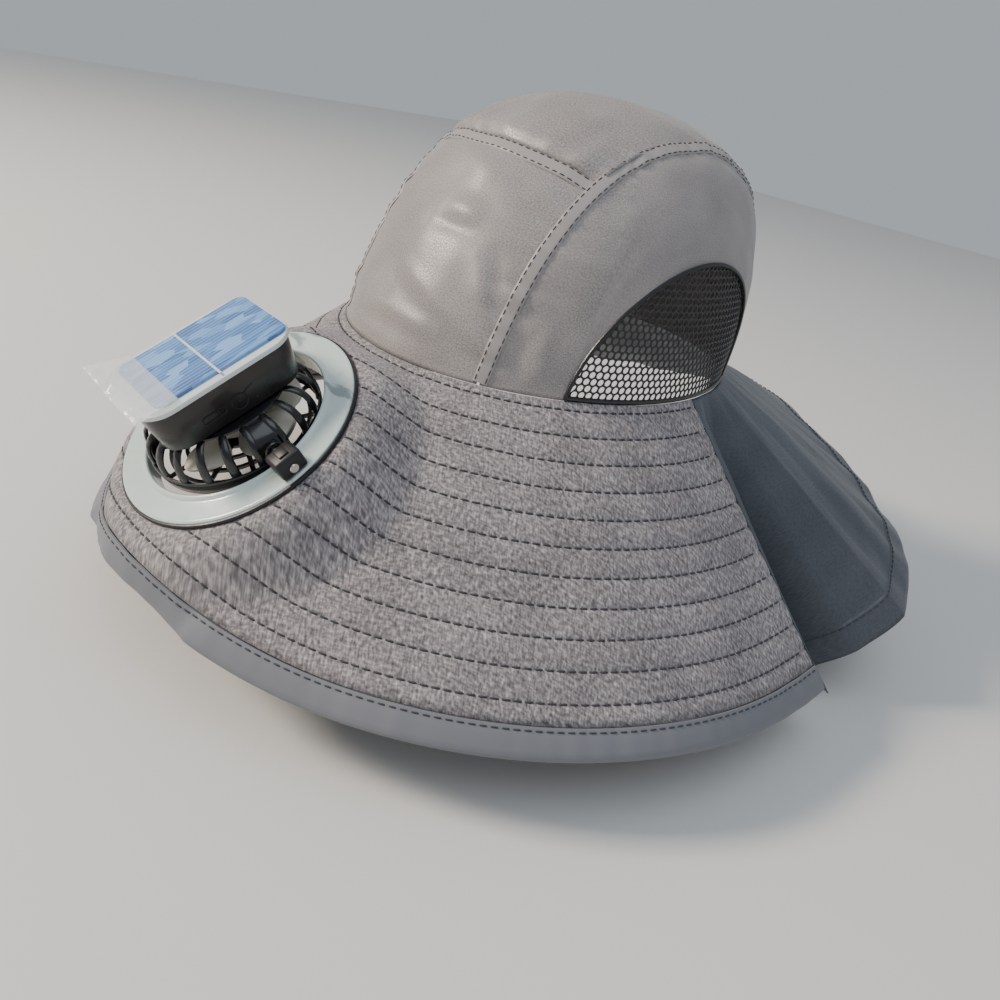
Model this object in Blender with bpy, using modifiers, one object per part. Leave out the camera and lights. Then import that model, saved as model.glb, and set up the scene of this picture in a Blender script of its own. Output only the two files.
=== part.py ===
"""Solar fan hat: a five-panel cloth crown with net vents, a wide stitched brim, a neck flap and a tilting fan.

Metres, +Z up. The front of the hat is -Y and the wearer's left is +X.
The origin is the centre of the head opening, in the plane of the seam between crown and brim.
"""
import math

import bmesh
import bpy
from mathutils import Matrix, Vector

MM = 0.001

# Fit between pieces
GAP = 0.3 * MM
SEAM_GAP = 0.7 * MM
PIN_CLEARANCE = 0.3 * MM
CUT_BEYOND = 1.0 * MM
CUT_THROUGH = 60.0 * MM

# Grids of the cloth pieces: columns round the hat, rows away from the brim seam
PANEL_COLUMNS = 12
FRONT_ROWS = 8
TOP_ROWS = 14
SIDE_END_COLUMNS = 5
SIDE_ARCH_COLUMNS = 16
SIDE_ROWS = 6
BRIM_COLUMNS = 42
BRIM_ROWS = 9
BINDING_ROWS = 2
FLAP_COLUMNS = 50
FLAP_ROWS = 6

# Crown: a dome on an oval base, squarer than an ellipse in profile
HEAD_HALF_WIDTH = 88.0 * MM
HEAD_HALF_LENGTH = 100.0 * MM
CROWN_HEIGHT = 110.0 * MM
CROWN_SQUARENESS = 2.75
CROWN_TAPER = math.radians(2.6)
CROWN_LEAN_BACK = 24.0 * MM
CROWN_CLOTH = 1.2 * MM

# Crown seams: two side seams in upright planes and a gathered seam across the front of the top
SIDE_SEAM_X = 49.0 * MM
GATHER_ANGLE_MIDDLE = math.radians(53.6)
GATHER_ANGLE_RISE = math.radians(4.5)
SECTION_CENTRE_Y = 12.0 * MM
SIDE_PANEL_POINT = math.radians(0.3)

# Net vents in the side panels
VENT_MIDDLE = math.radians(90.0)
VENT_HALF_ANGLE = math.radians(34.0)
VENT_HEIGHT = 58.0 * MM
VENT_COLUMNS = 10
VENT_ROWS = 5
NET_STRAND = 1.6 * MM
NET_END_TURN = math.radians(8.0)

# Brim
BRIM_END = math.radians(97.0)
BRIM_CLOTH = 2.0 * MM
STITCH_FIRST = 4.0 * MM
STITCH_PITCH = 11.7 * MM
STITCH_ROWS = 11
STITCH_TO_BINDING = 7.8 * MM
BINDING_WIDTH = 11.8 * MM
BINDING_THICKNESS = 3.2 * MM
BINDING_OFFSET = -0.6
FRONT_SAG = math.radians(7.0)
FRONT_SAG_SPREAD = math.radians(30.0)

# Brim slope below level at the seam, at angles round from the front, in degrees
BRIM_SLOPES = [
    # angle, slope
    (0.0, 27.2),
    (30.0, 36.1),
    (60.0, 40.3),
    (90.0, 44.0),
    (97.0, 43.5),
]
BRIM_CURL_FRONT = math.radians(11.5) / (100.0 * MM)
BRIM_CURL_SIDE = math.radians(-0.6) / (100.0 * MM)

# Neck flap
FLAP_LENGTH_SHARE = 1.015
FLAP_CLOTH = 1.2 * MM
# Flap slope at the seam and its curl, at angles round from the front, in degrees (curl per 0.1 m)
FLAP_SLOPES = [
    # angle, slope, curl
    (97.0, 43.5, -0.6),
    (100.0, 45.5, -0.3),
    (103.5, 62.0, 0.0),
    (106.5, 60.0, 0.0),
    (111.0, 42.0, 0.3),
    (116.0, 33.0, 0.7),
    (130.0, 30.6, 0.7),
    (150.0, 27.6, 0.7),
    (180.0, 20.0, 0.7),
]

# Fan ring: a flat flange on the brim, a raised lip round its hole and a duct through the brim
RING_AHEAD = 161.1 * MM
RING_BELOW_SEAM = 26.9 * MM
RING_SLOPE = math.radians(36.8)
RING_RADIUS = 50.0 * MM
RING_THICKNESS = 2.4 * MM
RING_EDGE = 0.8 * MM
DUCT_RADIUS = 38.0 * MM
DUCT_WALL = 2.0 * MM
DUCT_DEPTH = 8.0 * MM
LIP_HEIGHT = 1.6 * MM
LIP_WIDTH = 2.2 * MM
LIP_TOP_WIDTH = 1.5 * MM
FLAT_MARGIN = 2.0 * MM
BRIM_FLATTENING = 22.0 * MM
BRIM_FLATTENING_START = 18.0 * MM

# Pivot of the fan, across the ring
PIVOT_HEIGHT = 3.5 * MM
FAN_TILT = math.radians(7.0)
PIN_RADIUS = 1.6 * MM
BLOCK_LENGTH = 9.0 * MM
BLOCK_WIDTH = 11.0 * MM
BLOCK_HEIGHT = 9.0 * MM
BLOCK_ROUND = 1.5 * MM
PIN_IN_BLOCK = 2.0 * MM
PIN_PAST_CAGE_WALL = 0.5 * MM

# Cage
CAGE_RADIUS = 35.0 * MM
CAGE_TOP_RADIUS = 24.0 * MM
CAGE_TOP = 9.8 * MM
CAGE_BOTTOM = -10.0 * MM
CAGE_WALL = 1.4 * MM
CAGE_SHOULDER_RADIUS = 31.2 * MM
CAGE_SHOULDER = 6.9 * MM
CAGE_SIDE_RADIUS = 34.2 * MM
CAGE_SIDE = 3.3 * MM
CAGE_BOTTOM_RADIUS = 33.6 * MM
CAGE_RIBS = 20
CAGE_SLOT = 6.8 * MM
CAGE_SLOT_TOP = 8.2 * MM
CAGE_SLOT_BOTTOM = -5.5 * MM
GRILLE_RADIUS = 29.5 * MM
GRILLE_HUB = 9.0 * MM
GRILLE_SLOT = 4.0 * MM

# Motor and rotor
MOTOR_RADIUS = 11.0 * MM
MOTOR_HEIGHT = 7.0 * MM
ROTOR_RADIUS = 29.0 * MM
HUB_RADIUS = 10.0 * MM
HUB_LOWER_RADIUS = 8.5 * MM
HUB_HEIGHT = 7.0 * MM
BLADES = 5
BLADE_THICKNESS = 1.2 * MM
BLADE_PITCH = math.radians(32.0)
BLADE_ROOT = 6.0 * MM
BLADE_SHORT_OF_HUB = 1.0 * MM

# Solar box
BOX_LENGTH = 61.0 * MM
BOX_WIDTH = 43.6 * MM
BOX_HEIGHT = 17.0 * MM
BOX_CORNER = 10.0 * MM
BOX_TAPER = 0.94
BOX_OUTWARD = 0.2 * MM
RIM_OVERHANG = 1.0 * MM
RIM_THICKNESS = 1.6 * MM
CELL_INSET = 3.0 * MM
CELL_THICKNESS = 1.2 * MM
CELL_CORNER = 1.0 * MM

# Charging socket in the box's left side
SOCKET_LENGTH = 9.5 * MM
SOCKET_HEIGHT = 3.6 * MM
SOCKET_DEPTH = 6.0 * MM
SOCKET_WALL = 0.5 * MM
SOCKET_OUTWARD = 9.5 * MM
SOCKET_DROP = 10.3 * MM
SOCKET_BACK = 1.5 * MM

# Finishes: linear colour, roughness, metallic
FINISHES = {
    "nylon": ((0.20, 0.18, 0.17), 0.55, 0.0),
    "net": ((0.01, 0.01, 0.012), 0.4, 0.0),
    "brim_cloth": ((0.15, 0.14, 0.14), 0.9, 0.0),
    "binding": ((0.10, 0.10, 0.11), 0.85, 0.0),
    "flap_cloth": ((0.06, 0.07, 0.09), 0.6, 0.0),
    "ring_plastic": ((0.50, 0.58, 0.56), 0.3, 0.0),
    "black_plastic": ((0.01, 0.01, 0.01), 0.35, 0.0),
    "rotor_plastic": ((0.70, 0.68, 0.60), 0.4, 0.0),
    "rim_plastic": ((0.60, 0.62, 0.62), 0.35, 0.0),
    "cell": ((0.03, 0.10, 0.35), 0.2, 0.0),
    "steel": ((0.55, 0.55, 0.56), 0.3, 1.0),
}

BRIM_TO_BINDING = STITCH_FIRST + (STITCH_ROWS - 1) * STITCH_PITCH + STITCH_TO_BINDING
BRIM_WIDTH = BRIM_TO_BINDING + BINDING_WIDTH
RING_PLACE = Vector((0.0, -RING_AHEAD, -RING_BELOW_SEAM))
UP = Vector((0.0, 0.0, 1.0))


def clear_scene():
    for old in list(bpy.data.objects):
        bpy.data.objects.remove(old, do_unlink=True)


def collection(name):
    group = bpy.data.collections.new(name)
    bpy.context.scene.collection.children.link(group)
    return group


def finish(name):
    material = bpy.data.materials.get(name)
    if material is None:
        colour, roughness, metallic = FINISHES[name]
        material = bpy.data.materials.new(name)
        material.use_nodes = True
        shader = material.node_tree.nodes["Principled BSDF"]
        shader.inputs["Base Color"].default_value = (*colour, 1.0)
        shader.inputs["Roughness"].default_value = roughness
        shader.inputs["Metallic"].default_value = metallic
    return material


def add_piece(name, mesh_builder, finish_name, group, parent=None):
    """Makes one named object from a bmesh and puts it in its collection."""
    mesh = bpy.data.meshes.new(name)
    mesh_builder.to_mesh(mesh)
    mesh_builder.free()
    mesh.shade_smooth()
    mesh.set_sharp_from_angle(angle=math.radians(35.0))
    piece = bpy.data.objects.new(name, mesh)
    piece.data.materials.append(finish(finish_name))
    piece.parent = parent
    group.objects.link(piece)
    return piece


def smoothstep(x):
    x = min(max(x, 0.0), 1.0)
    return x * x * (3.0 - 2.0 * x)


def read_table(rows, angle, column=1):
    """Reads a column of a table at an angle in radians, easing between its rows."""
    degrees = min(max(abs(math.degrees(angle)), rows[0][0]), rows[-1][0])
    for low, high in zip(rows, rows[1:]):
        if degrees <= high[0]:
            share = smoothstep((degrees - low[0]) / (high[0] - low[0])) * 0.5
            share += 0.5 * (degrees - low[0]) / (high[0] - low[0])
            return low[column] + share * (high[column] - low[column])
    return rows[-1][column]


def sheet(columns, rows, place):
    """A grid whose corners run 0 to 1 both ways, bent into shape by a rule."""
    build = bmesh.new()
    bmesh.ops.create_grid(build, x_segments=columns, y_segments=rows, size=0.5)
    for corner in build.verts:
        corner.co = place(corner.co.x + 0.5, corner.co.y + 0.5)
    bmesh.ops.remove_doubles(build, verts=build.verts, dist=0.05 * MM)
    return build


def thicken(piece, thickness):
    """Gives a sheet its wall, on the side away from its faces."""
    wall = piece.modifiers.new("wall", "SOLIDIFY")
    wall.thickness = thickness
    wall.offset = -1.0
    wall.use_even_offset = True
    return wall


def cut(piece, cutter, operation="DIFFERENCE"):
    boolean = piece.modifiers.new(cutter.name, "BOOLEAN")
    boolean.operation = operation
    boolean.solver = "EXACT"
    boolean.object = cutter


def add_cutter(name, mesh_builder, group, parent=None):
    mesh = bpy.data.meshes.new(name)
    mesh_builder.to_mesh(mesh)
    mesh_builder.free()
    cutter = bpy.data.objects.new(name, mesh)
    cutter.hide_render = True
    cutter.display_type = "WIRE"
    cutter.parent = parent
    group.objects.link(cutter)
    return cutter


def crown_scale(height):
    """How far the crown's oval has drawn in at a height, and how far it has leant back."""
    share = min(max(height / CROWN_HEIGHT, 0.0), 1.0)
    drawn_in = (1.0 - share ** CROWN_SQUARENESS) ** (1.0 / CROWN_SQUARENESS)
    drawn_in *= 1.0 - math.tan(CROWN_TAPER) * height / HEAD_HALF_WIDTH
    return drawn_in, CROWN_LEAN_BACK * share


def crown_at(angle, height):
    """Crown surface at an angle round from the front and a height above the seam."""
    drawn_in, lean = crown_scale(height)
    x = HEAD_HALF_WIDTH * math.sin(angle) * drawn_in
    y = -HEAD_HALF_LENGTH * math.cos(angle) * drawn_in + lean
    return Vector((x, y, height))


def halve(low, high, is_low):
    """Finds where a rule stops holding between two values."""
    for _ in range(40):
        middle = (low + high) / 2.0
        if is_low(middle):
            low = middle
        else:
            high = middle
    return (low + high) / 2.0


def crown_section(x, angle):
    """Crown surface in the upright plane at x, at an angle from the front seam over the top."""
    def inside(reach):
        y = SECTION_CENTRE_Y - reach * math.cos(angle)
        z = reach * math.sin(angle)
        drawn_in, lean = crown_scale(z)
        if z >= CROWN_HEIGHT or drawn_in <= 0.0:
            return False
        across = x / (HEAD_HALF_WIDTH * drawn_in)
        along = (y - lean) / (HEAD_HALF_LENGTH * drawn_in)
        return across ** 2 + along ** 2 < 1.0

    reach = halve(0.0, 2.0 * HEAD_HALF_LENGTH, inside)
    return Vector((x, SECTION_CENTRE_Y - reach * math.cos(angle), reach * math.sin(angle)))


def gather_angle(x):
    return GATHER_ANGLE_MIDDLE + GATHER_ANGLE_RISE * (x / SIDE_SEAM_X) ** 2


def middle_panel(name, start, end, rows, group):
    """A crown panel between the side seams, from one angle of the section to another."""
    half = SIDE_SEAM_X - SEAM_GAP / 2.0

    def place(u, v):
        x = half * (2.0 * u - 1.0)
        low = start(x)
        return crown_section(x, low + v * (end(x) - low))

    piece = add_piece(name, sheet(PANEL_COLUMNS, rows, place), "nylon", group)
    thicken(piece, CROWN_CLOTH)
    return piece


def seam_height(angle):
    """Height at which a line up the crown's side meets the side seam."""
    edge = SIDE_SEAM_X + SEAM_GAP / 2.0
    return halve(0.0, CROWN_HEIGHT, lambda z: crown_at(angle, z).x > edge)


def vent_top(angle, clearance=0.0):
    share = (angle - VENT_MIDDLE) / (VENT_HALF_ANGLE + clearance / HEAD_HALF_LENGTH)
    return (VENT_HEIGHT + clearance) * math.sqrt(max(0.0, 1.0 - share ** 2))


def side_panel(name, side, group):
    """A side panel: columns up from the brim seam, or from the vent's arch, to the side seam."""
    corner = math.asin((SIDE_SEAM_X + SEAM_GAP) / HEAD_HALF_WIDTH) + SIDE_PANEL_POINT
    front, back = VENT_MIDDLE - VENT_HALF_ANGLE, VENT_MIDDLE + VENT_HALF_ANGLE
    clear = SEAM_GAP / HEAD_HALF_LENGTH
    last = math.pi - corner
    ends = range(SIDE_END_COLUMNS + 1)
    turns = [math.pi * i / SIDE_ARCH_COLUMNS for i in range(1, SIDE_ARCH_COLUMNS)]
    angles = [corner + (front - clear - corner) * i / SIDE_END_COLUMNS for i in ends]
    angles += [VENT_MIDDLE - (VENT_HALF_ANGLE + clear) * math.cos(turn) for turn in turns]
    angles += [back + clear + (last - back - clear) * i / SIDE_END_COLUMNS for i in ends]
    columns = len(angles) - 1

    def place(u, v):
        angle = angles[round(u * columns)]
        low = vent_top(angle, SEAM_GAP)
        high = seam_height(angle)
        point = crown_at(angle, low + v * (high - low))
        return Vector((side * point.x, point.y, point.z))

    build = sheet(columns, SIDE_ROWS, place)
    if side < 0:
        bmesh.ops.reverse_faces(build, faces=build.faces)
    bmesh.ops.dissolve_degenerate(build, edges=build.edges, dist=0.05 * MM)
    piece = add_piece(name, build, "nylon", group)
    thicken(piece, CROWN_CLOTH)
    return piece


def net_vent(name, side, group):
    """The net in a vent's arch, as a lattice of strands cut right through."""
    def place(u, v):
        turn = NET_END_TURN + (math.pi - 2.0 * NET_END_TURN) * u
        angle = VENT_MIDDLE - VENT_HALF_ANGLE * math.cos(turn)
        top = vent_top(angle) - NET_STRAND / 2.0 - GAP
        low = NET_STRAND / 2.0
        point = crown_at(angle, low + v * (top - low))
        outward = Vector((math.sin(angle), -math.cos(angle), 0.0))
        point -= outward * CROWN_CLOTH / 2.0
        return Vector((side * point.x, point.y, point.z))

    build = sheet(VENT_COLUMNS, VENT_ROWS, place)
    piece = add_piece(name, build, "net", group)
    lattice = piece.modifiers.new("strands", "WIREFRAME")
    lattice.thickness = NET_STRAND / 2.0
    lattice.use_even_offset = True
    lattice.use_boundary = True
    lattice.use_replace = True
    return piece


def ring_axes():
    """The ring's outward direction down the brim and the direction out of its face."""
    outward = Vector((0.0, -math.cos(RING_SLOPE), -math.sin(RING_SLOPE)))
    face = Vector((0.0, -math.sin(RING_SLOPE), math.cos(RING_SLOPE)))
    return outward, face


def slope_point(angle, reach, slope, curl, sag=0.0):
    """A point on cloth that leaves the crown seam at a slope and curls down evenly."""
    base = Vector((HEAD_HALF_WIDTH * math.sin(angle), -HEAD_HALF_LENGTH * math.cos(angle), 0.0))
    away = Vector((math.sin(angle) / HEAD_HALF_WIDTH, -math.cos(angle) / HEAD_HALF_LENGTH, 0.0)).normalized()
    level = 0.0
    drop = 0.0
    steps = 10
    for i in range(steps):
        run = reach * (i + 0.5) / steps
        lean = slope + curl * run + sag * ((run / (100.0 * MM)) ** 2 - 0.5)
        level += math.cos(lean) * reach / steps
        drop += math.sin(lean) * reach / steps
    return base + away * level - UP * drop


def brim_point(angle, reach):
    """Top of the brim, drawn flat where the fan ring is clamped to it."""
    slope = math.radians(read_table(BRIM_SLOPES, angle))
    side_share = math.sin(angle) ** 2
    curl = BRIM_CURL_FRONT * (1.0 - side_share) + BRIM_CURL_SIDE * side_share
    sag = FRONT_SAG * math.exp(-((angle / FRONT_SAG_SPREAD) ** 2))
    point = slope_point(angle, reach, slope, curl, sag)
    outward, face = ring_axes()
    away = point - (RING_PLACE - face * (RING_THICKNESS + GAP))
    height = away.dot(face)
    radius = math.hypot(away.x, away.dot(outward))
    hold = 1.0 - smoothstep((radius - RING_RADIUS - FLAT_MARGIN) / BRIM_FLATTENING)
    hold *= smoothstep(reach / BRIM_FLATTENING_START)
    return point - face * height * hold


def flap_point(angle, reach):
    slope = math.radians(read_table(FLAP_SLOPES, angle))
    curl = math.radians(read_table(FLAP_SLOPES, angle, 2)) / (100.0 * MM)
    return slope_point(angle, reach, slope, curl)


def build_brim(group, cutters):
    def brim_place(u, v):
        return brim_point(BRIM_END * (1.0 - 2.0 * u), GAP + v * (BRIM_TO_BINDING - 2.0 * GAP))

    def binding_place(u, v):
        return brim_point(BRIM_END * (1.0 - 2.0 * u), BRIM_TO_BINDING + GAP + v * (BINDING_WIDTH - GAP))

    brim = add_piece("brim", sheet(BRIM_COLUMNS, BRIM_ROWS, brim_place), "brim_cloth", group)
    thicken(brim, BRIM_CLOTH)
    hole = bmesh.new()
    hole_radius = DUCT_RADIUS + DUCT_WALL + 2.0 * GAP
    bmesh.ops.create_cone(hole, cap_ends=True, segments=40, radius1=hole_radius, radius2=hole_radius,
                          depth=CUT_THROUGH)
    cutter = add_cutter("brim_hole_cutter", hole, cutters)
    cutter.location = RING_PLACE
    cutter.rotation_euler.x = RING_SLOPE
    cut(brim, cutter)
    binding = add_piece("brim_binding", sheet(BRIM_COLUMNS, BINDING_ROWS, binding_place), "binding", group)
    wall = thicken(binding, BINDING_THICKNESS)
    wall.offset = BINDING_OFFSET


def build_flap(group):
    start = BRIM_END + 2.0 * GAP / HEAD_HALF_LENGTH
    length = BRIM_WIDTH * FLAP_LENGTH_SHARE

    def place(u, v):
        angle = start + (1.0 - u) * (2.0 * math.pi - 2.0 * start)
        turn = angle if angle <= math.pi else 2.0 * math.pi - angle
        point = flap_point(turn, GAP + v * length)
        return point if angle <= math.pi else Vector((-point.x, point.y, point.z))

    flap = add_piece("neck_flap", sheet(FLAP_COLUMNS, FLAP_ROWS, place), "flap_cloth", group)
    thicken(flap, FLAP_CLOTH)


def turned(profile, segments, loop=True):
    """A shape turned about Z from an outline of radius and height: a loop, or a line from axis to axis."""
    build = bmesh.new()
    corners = [build.verts.new((radius, 0.0, height)) for radius, height in profile]
    for first, second in zip(corners, corners[1:] + (corners[:1] if loop else [])):
        build.edges.new((first, second))
    bmesh.ops.spin(build, geom=build.verts[:] + build.edges[:], cent=(0, 0, 0), axis=(0, 0, 1),
                   angle=2.0 * math.pi, steps=segments, use_duplicate=False)
    bmesh.ops.remove_doubles(build, verts=build.verts, dist=0.02 * MM)
    bmesh.ops.recalc_face_normals(build, faces=build.faces)
    return build


def build_ring(group, axis):
    inner, outer = DUCT_RADIUS, DUCT_RADIUS + DUCT_WALL
    profile = [
        (inner, -DUCT_DEPTH),
        (outer, -DUCT_DEPTH),
        (outer, -RING_THICKNESS),
        (RING_RADIUS - RING_EDGE, -RING_THICKNESS),
        (RING_RADIUS, -RING_THICKNESS / 2.0),
        (RING_RADIUS - RING_EDGE, 0.0),
        (inner + LIP_WIDTH, 0.0),
        (inner + LIP_TOP_WIDTH, LIP_HEIGHT),
        (inner, LIP_HEIGHT),
    ]
    add_piece("fan_ring", turned(profile, 36), "ring_plastic", group, axis)


def box(size, middle):
    build = bmesh.new()
    bmesh.ops.create_cube(build, size=1.0)
    for corner in build.verts:
        corner.co = Vector((corner.co.x * size[0], corner.co.y * size[1], corner.co.z * size[2])) + Vector(middle)
    return build


def rod_across(radius, start, end, height, segments=16):
    """A round rod along X at a height."""
    build = bmesh.new()
    bmesh.ops.create_cone(build, cap_ends=True, segments=segments, radius1=radius, radius2=radius, depth=end - start)
    turn = Matrix.Rotation(math.pi / 2.0, 4, "Y")
    bmesh.ops.transform(build, matrix=turn, verts=build.verts)
    bmesh.ops.translate(build, vec=((start + end) / 2.0, 0.0, height), verts=build.verts)
    return build


def build_blocks(group, cutters, axis):
    """A block with its pin on each side of the flange. The pin reaches into the cage's cheek."""
    near = DUCT_RADIUS + LIP_WIDTH + GAP
    pin_start = CAGE_RADIUS - CAGE_WALL - PIN_PAST_CAGE_WALL
    for name, side in (("pivot_block_left", 1.0), ("pivot_block_right", -1.0)):
        middle = (side * (near + BLOCK_LENGTH / 2.0), 0.0, GAP + BLOCK_HEIGHT / 2.0)
        build = box((BLOCK_LENGTH, BLOCK_WIDTH, BLOCK_HEIGHT), middle)
        top = [edge for edge in build.edges if all(v.co.z > BLOCK_HEIGHT for v in edge.verts)]
        bmesh.ops.bevel(build, geom=top, offset=BLOCK_ROUND, segments=2, affect="EDGES", profile=0.5)
        block = add_piece(name, build, "black_plastic", group, axis)
        ends = sorted((side * pin_start, side * (near + PIN_IN_BLOCK)))
        pin = add_cutter(name + "_pin", rod_across(PIN_RADIUS, ends[0], ends[1], PIVOT_HEIGHT), cutters, axis)
        cut(block, pin, "UNION")


def build_cage(group, cutters, axis):
    """A turned shell, slotted into ribs round its side and a grille below."""
    profile = [
        (0.0, CAGE_TOP),
        (CAGE_TOP_RADIUS, CAGE_TOP),
        (CAGE_SHOULDER_RADIUS, CAGE_SHOULDER),
        (CAGE_SIDE_RADIUS, CAGE_SIDE),
        (CAGE_RADIUS, 0.0),
        (CAGE_BOTTOM_RADIUS, CAGE_BOTTOM),
        (0.0, CAGE_BOTTOM),
    ]
    cage = add_piece("fan_cage", turned(profile, 40, loop=False), "black_plastic", group, axis)
    thicken(cage, CAGE_WALL)

    slots = bmesh.new()
    for i in range(CAGE_RIBS):
        turn = Matrix.Rotation(2.0 * math.pi * i / CAGE_RIBS, 4, "Z")
        if i % (CAGE_RIBS // 2) != 0:
            reach = CAGE_RADIUS + CUT_BEYOND
            slot = bmesh.ops.create_cube(slots, size=1.0)["verts"]
            size = (reach - CAGE_TOP_RADIUS, CAGE_SLOT, CAGE_SLOT_TOP - CAGE_SLOT_BOTTOM)
            middle = ((reach + CAGE_TOP_RADIUS) / 2.0, 0.0, (CAGE_SLOT_TOP + CAGE_SLOT_BOTTOM) / 2.0)
            place = turn @ Matrix.Translation(middle) @ Matrix.Diagonal((*size, 1.0))
            bmesh.ops.transform(slots, matrix=place, verts=slot)
        if i % 2 != 0:
            continue
        slot = bmesh.ops.create_cube(slots, size=1.0)["verts"]
        size = (GRILLE_RADIUS - GRILLE_HUB, GRILLE_SLOT, 2.0 * (CAGE_WALL + CUT_BEYOND))
        middle = ((GRILLE_RADIUS + GRILLE_HUB) / 2.0, 0.0, CAGE_BOTTOM)
        place = turn @ Matrix.Translation(middle) @ Matrix.Diagonal((*size, 1.0))
        bmesh.ops.transform(slots, matrix=place, verts=slot)
    cut(cage, add_cutter("cage_slots", slots, cutters, axis))
    bore_end = CAGE_RADIUS + CUT_BEYOND
    bore = rod_across(PIN_RADIUS + PIN_CLEARANCE, -bore_end, bore_end, 0.0)
    cut(cage, add_cutter("cage_pin_bore", bore, cutters, axis))


def build_fan(group, cutters, axis, spin_axis):
    motor = bmesh.new()
    bmesh.ops.create_cone(motor, cap_ends=True, segments=24, radius1=MOTOR_RADIUS, radius2=MOTOR_RADIUS,
                          depth=MOTOR_HEIGHT)
    motor_top = CAGE_TOP - CAGE_WALL - GAP
    bmesh.ops.translate(motor, vec=(0.0, 0.0, motor_top - MOTOR_HEIGHT / 2.0), verts=motor.verts)
    add_piece("fan_motor", motor, "black_plastic", group, axis)

    hub_top = motor_top - MOTOR_HEIGHT - GAP
    hub = bmesh.new()
    bmesh.ops.create_cone(hub, cap_ends=True, segments=24, radius1=HUB_LOWER_RADIUS, radius2=HUB_RADIUS,
                          depth=HUB_HEIGHT)
    bmesh.ops.translate(hub, vec=(0.0, 0.0, hub_top - HUB_HEIGHT / 2.0), verts=hub.verts)
    rotor = add_piece("fan_rotor", hub, "rotor_plastic", group, spin_axis)
    blades = bmesh.new()
    chord = (HUB_HEIGHT - BLADE_SHORT_OF_HUB) / math.sin(BLADE_PITCH)
    for i in range(BLADES):
        blade = bmesh.ops.create_cube(blades, size=1.0)["verts"]
        shape = Matrix.Diagonal((ROTOR_RADIUS - BLADE_ROOT, chord, BLADE_THICKNESS, 1.0))
        tilt = Matrix.Rotation(BLADE_PITCH, 4, "X")
        move = Matrix.Translation(((ROTOR_RADIUS + BLADE_ROOT) / 2.0, 0.0, hub_top - HUB_HEIGHT / 2.0))
        turn = Matrix.Rotation(2.0 * math.pi * i / BLADES, 4, "Z")
        bmesh.ops.transform(blades, matrix=turn @ move @ tilt @ shape, verts=blade)
    cut(rotor, add_cutter("rotor_blades", blades, cutters, spin_axis), "UNION")


def rounded_box(length, width, height, corner, taper=1.0):
    """A box with round upright edges, its lower end drawn in by the taper."""
    build = bmesh.new()
    bmesh.ops.create_cube(build, size=1.0)
    bmesh.ops.scale(build, vec=(width, length, height), verts=build.verts)
    upright = [edge for edge in build.edges if abs(edge.verts[0].co.z - edge.verts[1].co.z) > height / 2.0]
    bmesh.ops.bevel(build, geom=upright, offset=corner, segments=6, affect="EDGES", profile=0.5)
    for vert in build.verts:
        if vert.co.z < 0.0:
            vert.co.x *= taper
            vert.co.y *= taper
    return build


def build_solar_box(group, cutters, axis):
    """The black box, the pale plate on it, the cell, and the socket in its left side."""
    bottom = CAGE_TOP + GAP
    shell = rounded_box(BOX_LENGTH, BOX_WIDTH, BOX_HEIGHT, BOX_CORNER, BOX_TAPER)
    middle = Vector((0.0, -BOX_OUTWARD, bottom + BOX_HEIGHT / 2.0))
    bmesh.ops.translate(shell, vec=middle, verts=shell.verts)
    housing = add_piece("solar_housing", shell, "black_plastic", group, axis)

    top = bottom + BOX_HEIGHT
    rim = rounded_box(BOX_LENGTH + 2.0 * RIM_OVERHANG, BOX_WIDTH + 2.0 * RIM_OVERHANG, RIM_THICKNESS,
                      BOX_CORNER + RIM_OVERHANG)
    rim_middle = Vector((0.0, -BOX_OUTWARD, top + GAP + RIM_THICKNESS / 2.0))
    bmesh.ops.translate(rim, vec=rim_middle, verts=rim.verts)
    add_piece("solar_rim", rim, "rim_plastic", group, axis)

    cell_size = (BOX_LENGTH - 2.0 * CELL_INSET, BOX_WIDTH - 2.0 * CELL_INSET)
    cell = rounded_box(cell_size[0], cell_size[1], CELL_THICKNESS, CELL_CORNER)
    cell_middle = rim_middle + UP * (RIM_THICKNESS / 2.0 + GAP + CELL_THICKNESS / 2.0)
    bmesh.ops.translate(cell, vec=cell_middle, verts=cell.verts)
    add_piece("solar_panel", cell, "cell", group, axis)

    drop = top - SOCKET_DROP
    share = (drop - bottom) / BOX_HEIGHT
    side_x = BOX_WIDTH / 2.0 * (BOX_TAPER + (1.0 - BOX_TAPER) * share)
    seat = (SOCKET_DEPTH, SOCKET_LENGTH, SOCKET_HEIGHT)
    place = (side_x - SOCKET_DEPTH / 2.0 - GAP, -SOCKET_OUTWARD, drop)
    recess = (seat[0] + 2.0 * (GAP + CUT_BEYOND), seat[1] + 2.0 * GAP, seat[2] + 2.0 * GAP)
    recess_place = (place[0] + CUT_BEYOND, place[1], place[2])
    cut(housing, add_cutter("socket_recess", box(recess, recess_place), cutters, axis))
    port = add_piece("usb_port", box(seat, place), "steel", group, axis)
    mouth = (SOCKET_DEPTH, SOCKET_LENGTH - 2.0 * SOCKET_WALL, SOCKET_HEIGHT - 2.0 * SOCKET_WALL)
    mouth_place = (place[0] + SOCKET_BACK, place[1], place[2])
    cut(port, add_cutter("socket_mouth", box(mouth, mouth_place), cutters, axis))


def axis_empty(name, location, slope, group, parent=None):
    axis = bpy.data.objects.new(name, None)
    axis.location = location
    axis.rotation_euler.x = slope
    axis.parent = parent
    group.objects.link(axis)
    return axis


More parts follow.
